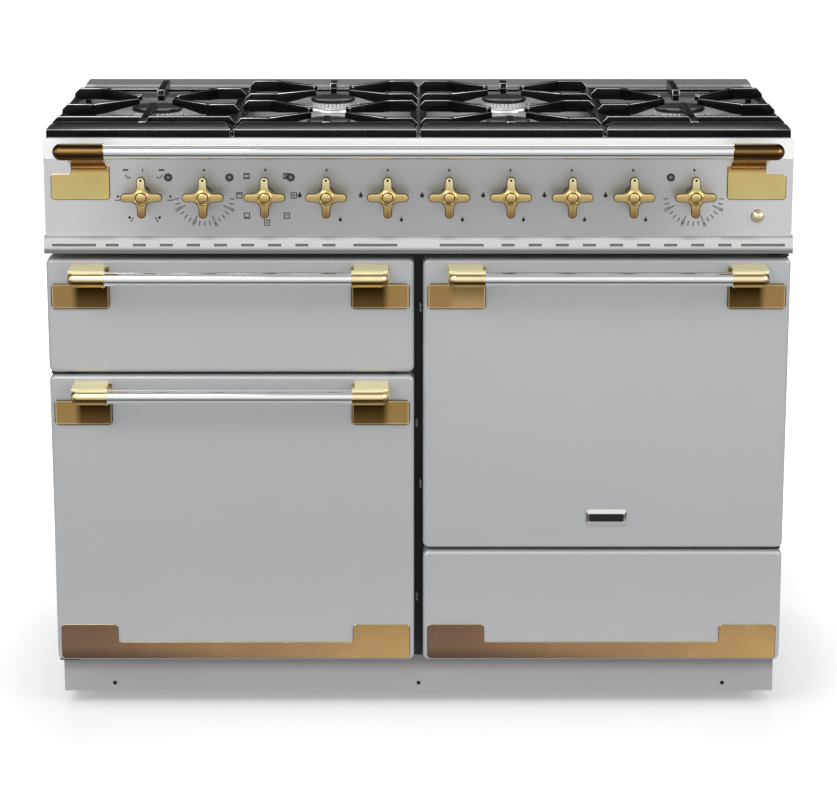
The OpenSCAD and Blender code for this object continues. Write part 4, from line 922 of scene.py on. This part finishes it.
def function_icon(ink, x, z, kind):
    """A small oven box with its elements or fan drawn in it."""
    ink.box(x, z, 0.0078, 0.0013)
    if kind in ("both", "lower", "browning"):
        ink.bar(x, z - 0.0022, 0.0058, 0.0013, 0)
    if kind in ("both", "upper", "browning"):
        ink.bar(x, z + 0.0022, 0.0058, 0.0013, 0)
    if kind in ("fan", "browning"):
        ink.disc(x, z, 0.0014)
    if kind == "four":
        ink.bar(x, z, 0.0074, 0.0009, 0)
        ink.bar(x, z, 0.0074, 0.0009, 90)
    if kind == "defrost":
        ink.bar(x - 0.0014, z + 0.0004, 0.0030, 0.0010, 90)
        ink.bar(x + 0.0014, z + 0.0004, 0.0030, 0.0010, 90)


def panel_print():
    ink = Print()
    z = KNOB_Z - 0.0035
    xs = [k.x for k in KNOBS]
    # Grill dial: element marks round it
    x = xs[0]
    ink.bar(x, z + 0.0379, 0.0045, 0.0014, 90)
    for side, places in ((-1, (-0.0368, -0.0205, -0.0168, -0.0232, -0.0190, -0.0249)),
                         (1, (0.0396, 0.0232, 0.0190, 0.0262, 0.0215, 0.0277))):
        level, low_spot, low_dash, high_dash, high_spot, row = (x + place for place in places)
        ink.disc(level, z - 0.0006, 0.0018)
        ink.bar(level, z - 0.0062, 0.0090, 0.0014, 4)
        ink.disc(low_spot, z - 0.0318, 0.0021)
        ink.bar(low_dash, z - 0.0350, 0.0082, 0.0014, -57 * side)
        ink.bar(high_dash, z + 0.0282, 0.0082, 0.0013, 52 * side)
        ink.disc(high_spot, z + 0.0275, 0.0013)
        for k in (-1, 0, 1):
            ink.disc(row + k * 0.0027, z + 0.0382, 0.0015)
    # Two oven thermostats
    temperature_dial(ink, xs[1], z)
    temperature_dial(ink, xs[9], z)
    # Oven functions
    x = xs[2]
    ink.flame(x, z + 0.0388, 0.0052)
    for dx, dz, kind in (
        (-0.0272, 0.0294, "both"), (-0.0382, 0.0008, "upper"), (-0.0274, -0.0292, "lower"),
        (0.0018, -0.0394, "fan"), (0.0307, -0.0292, "defrost"), (0.0411, 0.0008, "four"),
        (0.0303, 0.0294, "browning"),
    ):
        function_icon(ink, x + dx, z + dz, kind)
    # Gas taps: off mark, high flame, low flame
    for x in xs[3:9]:
        ink.flame(x, z + 0.0383, 0.0050)
        ink.flame(x - 0.0394, z + 0.0017, 0.0090)
        ink.flame(x + 0.0196, z - 0.0345, 0.0076)
    piece("panel_print", gathered(ink.parts, None), print_ink)


def lamps():
    """A dark ring with a grey lens in it for each lamp."""
    low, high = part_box("indicator_lamps")
    z = (low.z + high.z) / 2
    ring = [(0.0030, 0), (0.0030, 0.0016), (0.0036, 0.0024), (0.0052, 0.0025), (0.0060, 0.0015),
            (0.0060, 0), (0.0030, 0)]
    lens = [(0, 0), (0.0031, 0), (0.0031, 0.0010), (0.0020, 0.0017), (0, 0.0020)]
    parts = []
    for x in (*(knob.x + 0.037 for knob in KNOBS[:3]), KNOBS[9].x - 0.034):
        for index, profile in enumerate((ring, lens)):
            parts.append((lathe(profile, (x, FACE, z), "y", 32), index))
    piece("lamp_rings", finish_mesh(*parts), [lens_dark, lens_grey], "indicator_lamps")


def igniter():
    low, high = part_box("igniter_button")
    mid = (low + high) / 2
    front = FACE - low.y
    button = lathe([
        (0, front), (0.0042, front - 0.0002), (0.0063, front - 0.0010), (0.0074, front - 0.0026),
        (0.0079, front - 0.0048), (0.0079, front - 0.008), (0.0071, front - 0.0082), (0.0071, -0.0135),
        (0, -0.0135)], (mid.x, FACE, mid.z), "y", 48)
    piece("igniter_cap", finish_mesh((button, 0)), button_gold, "igniter_button")
    collar = lathe([
        (0.0085, 0), (0.0085, 0.0012), (0.0093, 0.0020), (0.0101, 0.0012), (0.0101, 0),
        (0.0085, 0)], (mid.x, FACE, mid.z), "y", 48)
    piece("igniter_collar", finish_mesh((collar, 0)), chrome)


# Hob


def burners():
    """Spreader, toothed crown, spark pin and enamelled cap for each burner."""
    teeth = ring_of_teeth()
    bases, caps = [], []
    for x, depth, r in BURNERS:
        y = FACE + depth
        beside = (x + r + 0.0045, y, WELL)
        bowl = lathe([
            (0, -0.022), (r - 0.013, -0.022), (r - 0.012, 0.0002), (r + 0.0076, 0.0002),
            (r + 0.0080, 0.0010), (r + 0.0074, 0.0034), (r + 0.0050, 0.0048), (r - 0.0010, 0.0052),
            (r - 0.0030, 0.0060), (r - 0.0034, 0.0132), (r - 0.0060, 0.0138), (0, 0.0138)],
            (x, y, WELL), steps=64)
        pin = lathe([(0, 0.010), (0.0005, 0.010), (0.0006, 0.0135), (0, 0.0140)], beside, steps=12)
        crown = teeth.grow(Finish=light_alloy, Radius=r - 0.0022, Teeth=34,
                           Tooth=(0.0034, 0.0026, 0.0062), Place=(x, y, WELL + 0.0100))
        spark = lathe([(0, 0.004), (0.0022, 0.004), (0.0022, 0.0088), (0.0012, 0.0102), (0, 0.0104)],
                      beside, steps=20)
        bases += [(bowl, 0), (pin, 0), (crown, 1), (spark, 2)]
        caps.append((lathe([
            (0, 0.0140), (r - 0.0020, 0.0140), (r - 0.0004, 0.0150), (r, 0.0165), (r - 0.0006, 0.0182),
            (r - 0.0030, 0.0198), (r * 0.6, 0.0206), (0, 0.0209)], (x, y, WELL), steps=72), 0))
    finishes = [light_alloy, bare_grey, ceramic]
    piece("burner_spreaders", finish_mesh(*bases), finishes, "burner_bases")
    piece("burner_lids", finish_mesh(*caps), cap_black, "burner_caps")


def prism(start, along, outline, thick):
    """An upright bar whose rounded edges carry a painted highlight. outline gives (distance, height) pairs
    from start.
    """
    start, along = Vector(start), Vector(along).normalized()
    across = Vector((-along.y, along.x, 0)) * thick / 2
    near, far = [[start + along * u + Vector((0, 0, v)) + across * side for u, v in outline]
                 for side in (-1, 1)]
    return painted_highlight_edges(solid(near, far))


def painted_highlight_edges(b):
    """Rounds a solid's edges and gives them the second material, bright steel that paints a highlight on
    them.
    """
    sharp = [e for e in b.edges if e.calc_face_angle(0) > math.radians(12)]
    bmesh.ops.bevel(b, geom=sharp, offset=PAINTED_HIGHLIGHT_EDGE, segments=2, profile=0.5, affect="EDGES",
                    clamp_overlap=True, material=1)
    return b


def post_with_painted_highlight(x, y, low, high, r):
    """A round post whose sloped top edge carries a painted highlight."""
    slope = 0.0012
    profile = [(0, low), (r, low), (r, high - slope), (r - slope, high), (0, high)]
    b = lathe(profile, (x, y, 0), steps=24)
    for face in b.faces:
        heights = [v.co.z for v in face.verts]
        if min(heights) > high - slope - 0.0001 and max(heights) - min(heights) > 0.0005:
            face.material_index = 1
    return b


class Support:
    """One cast pan support: frame, bars with sloped ends, blades and fingers."""

    wide = 0.011
    low = RIM + 0.0003
    top = RIM + 0.018

    def __init__(self, index):
        low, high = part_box(f"pan_support_{index}")
        self.x0, self.x1, self.y0, self.y1 = low.x, high.x, low.y, high.y
        self.parts = []

    def cross_bar(self, x0, x1, depth, in0, in1):
        self.parts.append(prism((x0, FACE + depth, 0), (1, 0, 0), [
            (0, self.low), (x1 - x0, self.low), (x1 - x0, self.top - in1), (x1 - x0 - in1, self.top),
            (in0, self.top), (0, self.top - in0)], self.wide))

    def front_bar(self):
        """The broad front bar: an upright face, a slope up to the bars, and ends that slope too."""
        edge = RIM + 0.0122
        y0, y1 = self.y0, self.y0 + 0.048
        b = bmesh.new()
        outer = [(y0, self.low), (y0, edge), (y1, edge), (y1, self.low)]
        inner = [(y0 + 0.0405, self.top - 0.0008), (y0 + 0.0445, self.top - 0.0008)]
        for inset, corners in ((0.001, outer), (0.012, inner)):
            for x in (self.x0 + inset, self.x1 - inset):
                for y, z in corners:
                    b.verts.new((x, y, z))
        made = bmesh.ops.convex_hull(b, input=b.verts)
        bmesh.ops.delete(b, geom=[v for v in made["geom_interior"] if isinstance(v, bmesh.types.BMVert)],
                         context="VERTS")
        bmesh.ops.dissolve_limit(b, angle_limit=math.radians(1), verts=b.verts, edges=b.edges)
        bmesh.ops.recalc_face_normals(b, faces=b.faces)
        # The bar's top strip takes the bright edge steel too, as a painted highlight.
        for face in b.faces:
            if face.calc_center_median().z > self.top - 0.0010:
                face.material_index = 1
        self.parts.append(painted_highlight_edges(b))

    def frame(self, legs):
        """Front bar, low side and rear bars, and the legs that stand in the well."""
        w, high = self.wide, self.low + 0.005
        self.front_bar()
        length, width = self.y1 - self.y0 - 0.024, self.x1 - self.x0
        for x in (self.x0 + w / 2, self.x1 - w / 2):
            self.parts.append(prism((x, self.y0 + 0.024, 0), (0, 1, 0), [
                (0, self.low), (length, self.low), (length, high), (0, high)], w))
        self.parts.append(prism((self.x0, self.y1 - w / 2, 0), (1, 0, 0), [
            (0, self.low), (width, self.low), (width, high), (0, high)], w))
        well = middle("hob_tray").x + HALF - 0.0185
        for x in (max(self.x0 + w / 2, 0.007 - well), min(self.x1 - w / 2, well - 0.007)):
            for depth in legs:
                self.parts.append(post_with_painted_highlight(x, FACE + depth, WELL + 0.0003, self.low + 0.001, 0.0045))

    def star(self, bx, depth, bars, reach):
        """Four short bars and the blades that run from them towards a burner."""
        for side in (-1, 1):
            out = self.x0 if side < 0 else self.x1
            root = out - side * 0.045
            for bar in bars:
                slope = (0.008, 0.001) if side < 0 else (0.001, 0.008)
                self.cross_bar(min(out, root), max(out, root), bar, *slope)
                self.parts.append(post_with_painted_highlight(root, FACE + bar, self.low, self.top, 0.006))
                tip = Vector((bx + side * 0.028, depth + math.copysign(reach, bar - depth), 0))
                run = tip - Vector((root, bar, 0))
                length = run.length
                low, top = self.low + 0.0005, self.top - 0.0004
                self.parts.append(prism((root, FACE + bar, 0), run, [
                    (0, low), (length * 0.2, low), (length, top - 0.009), (length, top - 0.002),
                    (length - 0.002, top), (0, top)], self.wide - 0.002))

    def finger(self, x, depth0, depth1):
        length = depth1 - depth0
        self.parts.append(prism((x, FACE + depth0, 0), (0, 1, 0), [
            (0.003, self.low), (0, self.top - 0.008), (0.002, self.top), (length - 0.002, self.top),
            (length, self.top - 0.008), (length - 0.003, self.low)], self.wide))


def supports():
    """Side supports carry one burner's star, centre supports carry two."""
    finger_start, finger_end = 0.040, 0.480
    side_legs, centre_legs = (0.097, 0.390), (0.083, 0.4745)
    for i in range(1, 5):
        s = Support(i)
        if i in (1, 4):
            bx, depth, _ = BURNERS[0 if i == 1 else 5]
            s.frame(side_legs)
            s.cross_bar(s.x0, s.x1, side_legs[0], 0.008, 0.008)
            s.star(bx, depth, (0.220, side_legs[1]), 0.018)
            s.finger(bx, finger_start, depth - 0.062)
            s.finger(bx, depth + 0.068, finger_end)
        else:
            (bx, front, _), (_, back, _) = BURNERS[1:3] if i == 2 else BURNERS[4:2:-1]
            s.frame(centre_legs)
            s.star(bx, front, (centre_legs[0], 0.260), 0.025)
            s.star(bx, back, (0.333, centre_legs[1]), 0.022)
            s.finger(bx, finger_start, front - 0.062)
            s.finger(bx, back + 0.044, finger_end)
        piece(f"iron_support_{i}", gathered(s.parts), [iron, iron_edge], f"pan_support_{i}")


# Ovens


def shelves():
    rack = wire_rack()
    low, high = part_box("oven_shelves")
    racks = []
    for side in ("left", "right"):
        cavity_low, cavity_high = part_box(f"{side}_oven_cavity")
        x0, x1 = cavity_low.x + 0.012, cavity_high.x - 0.012
        z0, z1 = cavity_low.z + 0.012, cavity_high.z - 0.012
        for share in (0.4, 0.76):
            place = ((x0 + x1) / 2, (low.y + high.y) / 2, z0 + share * (z1 - z0) + 0.006)
            racks.append((rack.grow(Finish=chrome, Width=x1 - x0 - 0.004, Depth=high.y - low.y - 0.004,
                                    Gauge=0.002, Wires=15, Place=place), 0))
    piece("wire_shelves", finish_mesh(*racks), bare_grey, "oven_shelves")


# Small fittings


def plinth_screws():
    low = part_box("plinth")[0]
    head = [(0, 0.0012), (0.0012, 0.0011), (0.0024, 0.0007), (0.0030, -0.0002), (0.0030, -0.004),
            (0, -0.004)]
    places = [(x, low.y, low.z + 0.0125) for x in (-HALF + 0.080, 0, HALF - 0.080)]
    parts = [(lathe(head, place, "y", 24), 0) for place in places]
    piece("plinth_screws", finish_mesh(*parts), screw_black)


def vent_baffle():
    """Sheet just behind the trim's slots, which air goes round above and below."""
    outline = rectangle(0, (TRIM_LOW + TRIM_HIGH) / 2, HALF - 0.010, 0.0048)
    mesh = finish_mesh((slab(outline, TRIM_FRONT + 0.0023, 0.0008), 0))
    piece("vent_baffle", rounded_edges(mesh, 0.0002, 1), baffle_steel)


def catches():
    """Roller catches on the front frame, in the gap between the doors."""
    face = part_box("front_frame")[0].y
    parts = []
    for x, z in ((0.0028, 0.630), (0.0028, 0.359), (-0.0026, 0.453), (-0.0026, 0.181)):
        body = slab(rectangle(x, z, 0.0017, 0.006), face - 0.020, 0.0205)
        roller = lathe([(0, -0.0034), (0.0008, -0.0036), (0.0016, -0.0026), (0.0018, 0), (0.0016, 0.0026),
                        (0.0008, 0.0036), (0, 0.0034)], (x, face - 0.0208, z), steps=16)
        parts += [(body, 0), (roller, 0)]
    piece("door_catches", finish_mesh(*parts), catch_steel)


# CAD nodes that stay visible, with their finishes

KEPT = {
    "base_frame": zinc, "casing": zinc, "front_frame": frame_black, "hob_tray": hob_coat,
    "control_panel": panel_coat, "vent_trim": trim_polish, "rail_bar": polish, "gas_manifold": pipe_metal,
    "control_switches": dark_plastic, "grill_cavity": oven_coat, "left_oven_cavity": oven_coat,
    "right_oven_cavity": oven_coat, "heating_elements": element_coat, "grill_pan": oven_coat,
    "plinth": plinth_coat, "door_seals": seal_grey, "hinge_brackets": frame_black, "drawer_runners": zinc,
    "terminal_box": dark_plastic, "feet": rubber, "fan_motors": motor_coat, "grill_door_liner": liner_coat,
    "left_door_liner": liner_coat, "right_door_liner": liner_coat, "grill_door_bar": polish,
    "left_door_bar": polish, "right_door_bar": polish, "drawer_box": zinc, "fan_left": fan_coat,
    "fan_right": fan_coat,
}
for node, material in KEPT.items():
    cad[node].data.materials.clear()
    cad[node].data.materials.append(material)

door_pieces()
badge()
knobs()
panel_print()
lamps()
igniter()
burners()
supports()
shelves()
plinth_screws()
vent_baffle()
catches()


# Stage, light and camera


def stage():
    ground = bpy.data.meshes.new("studio_floor")
    s = 14
    ground.from_pydata([(-s, -s, 0), (s, -s, 0), (s, s, 0), (-s, s, 0)], [], [(0, 1, 2, 3)])
    floor = added("studio_floor", ground)
    f = Finish("studio_floor", roughness=0.8, emission_strength=0.9)
    ahead = f.axis("y") * -1.0
    mirrored = f.mix(ahead.rise(0.70, 0.85), (0.60,) * 3, (0.10,) * 3)
    mirrored = f.mix(ahead.rise(1.40, 1.80), mirrored, (0.55,) * 3)
    mirrored = f.mix(ahead.rise(3.3, 4.2), mirrored, (0.98,) * 3)
    ray = ("ShaderNodeLightPath", {}, {})
    away = ahead.math("MAXIMUM", abs(f.axis("x")) - 0.54, abs(f.axis("y")) - 0.34)
    glow = f.mix(away.rise(0.0, 0.45), (0.36,) * 3, (1,) * 3)
    f.feed("Base Color", f.mix(f.node(*ray, out="Is Glossy Ray"), (0.86,) * 3, mirrored))
    f.feed("Emission Color", f.mix(f.node(*ray, out="Is Camera Ray"), (0,) * 3, glow))
    ground.materials.append(f.material)


def soft_light(name, place, target, size, power):
    data = bpy.data.lights.new(name, "AREA")
    data.shape, data.size, data.size_y, data.energy = "RECTANGLE", size[0], size[1], power
    made = added(name, data)
    made.location = place
    made.rotation_euler = (Vector(target) - Vector(place)).to_track_quat("-Z", "Y").to_euler()


def studio_sky():
    """Pale surroundings: bright in front and overhead, dark low down behind in reflections."""
    world = bpy.data.worlds.new("studio")
    bpy.context.scene.world = world
    world.use_nodes = True
    sky = Nodes(world.node_tree)
    direction = sky.node("ShaderNodeTexCoord", out="Generated")
    height, depth = [sky.node("ShaderNodeSeparateXYZ", {}, {0: direction}, axis) for axis in "ZY"]

    def shades(stops):
        return sky.ramp(height, [(place, (v, v, v * 1.01)) for place, v in stops])

    front = shades([(0.0, 0.95), (0.5, 1.0), (0.70, 0.85), (0.82, 0.42), (0.93, 0.36), (1.0, 0.55)])
    back = shades([(0.0, 0.30), (0.02, 0.05), (0.50, 0.05), (0.86, 0.12), (0.97, 0.42), (1.0, 0.55)])
    behind = sky.node("ShaderNodeMapRange", {}, {"Value": depth, "From Min": -0.05, "From Max": 0.25})
    seen = sky.node("ShaderNodeLightPath", out="Is Camera Ray")
    colour = sky.mix(seen, sky.mix(behind, front, back), (1, 1, 1))
    light = sky.node("ShaderNodeBackground", {}, {"Color": colour})
    sky.node("ShaderNodeOutputWorld", {}, {"Surface": light}, None)


def camera():
    data = bpy.data.cameras.new("camera")
    made = added("camera", data)
    away, height, tilt = 4.229, 1.563, 14.16
    focal_pixels, photo_pixels, film = 2943, 837, 36
    data.sensor_width = film
    data.lens = focal_pixels / photo_pixels * film
    data.clip_start, data.clip_end = 0.05, 100
    made.location = (0, FACE - away, height)
    made.rotation_euler = (math.radians(90 - tilt), 0, 0)
    bpy.context.scene.camera = made


stage()
studio_sky()
soft_light("key", (-1.6, -2.6, 2.9), (0, 0, 0.55), (2.2, 1.6), 40)
soft_light("fill", (2.6, -2.2, 1.9), (0, 0, 0.5), (1.6, 1.6), 24)
soft_light("crest", (0, 1.6, 2.6), (0, 0, 0.85), (2.4, 0.9), 26)
camera()
bpy.context.scene.view_settings.view_transform = "Standard"
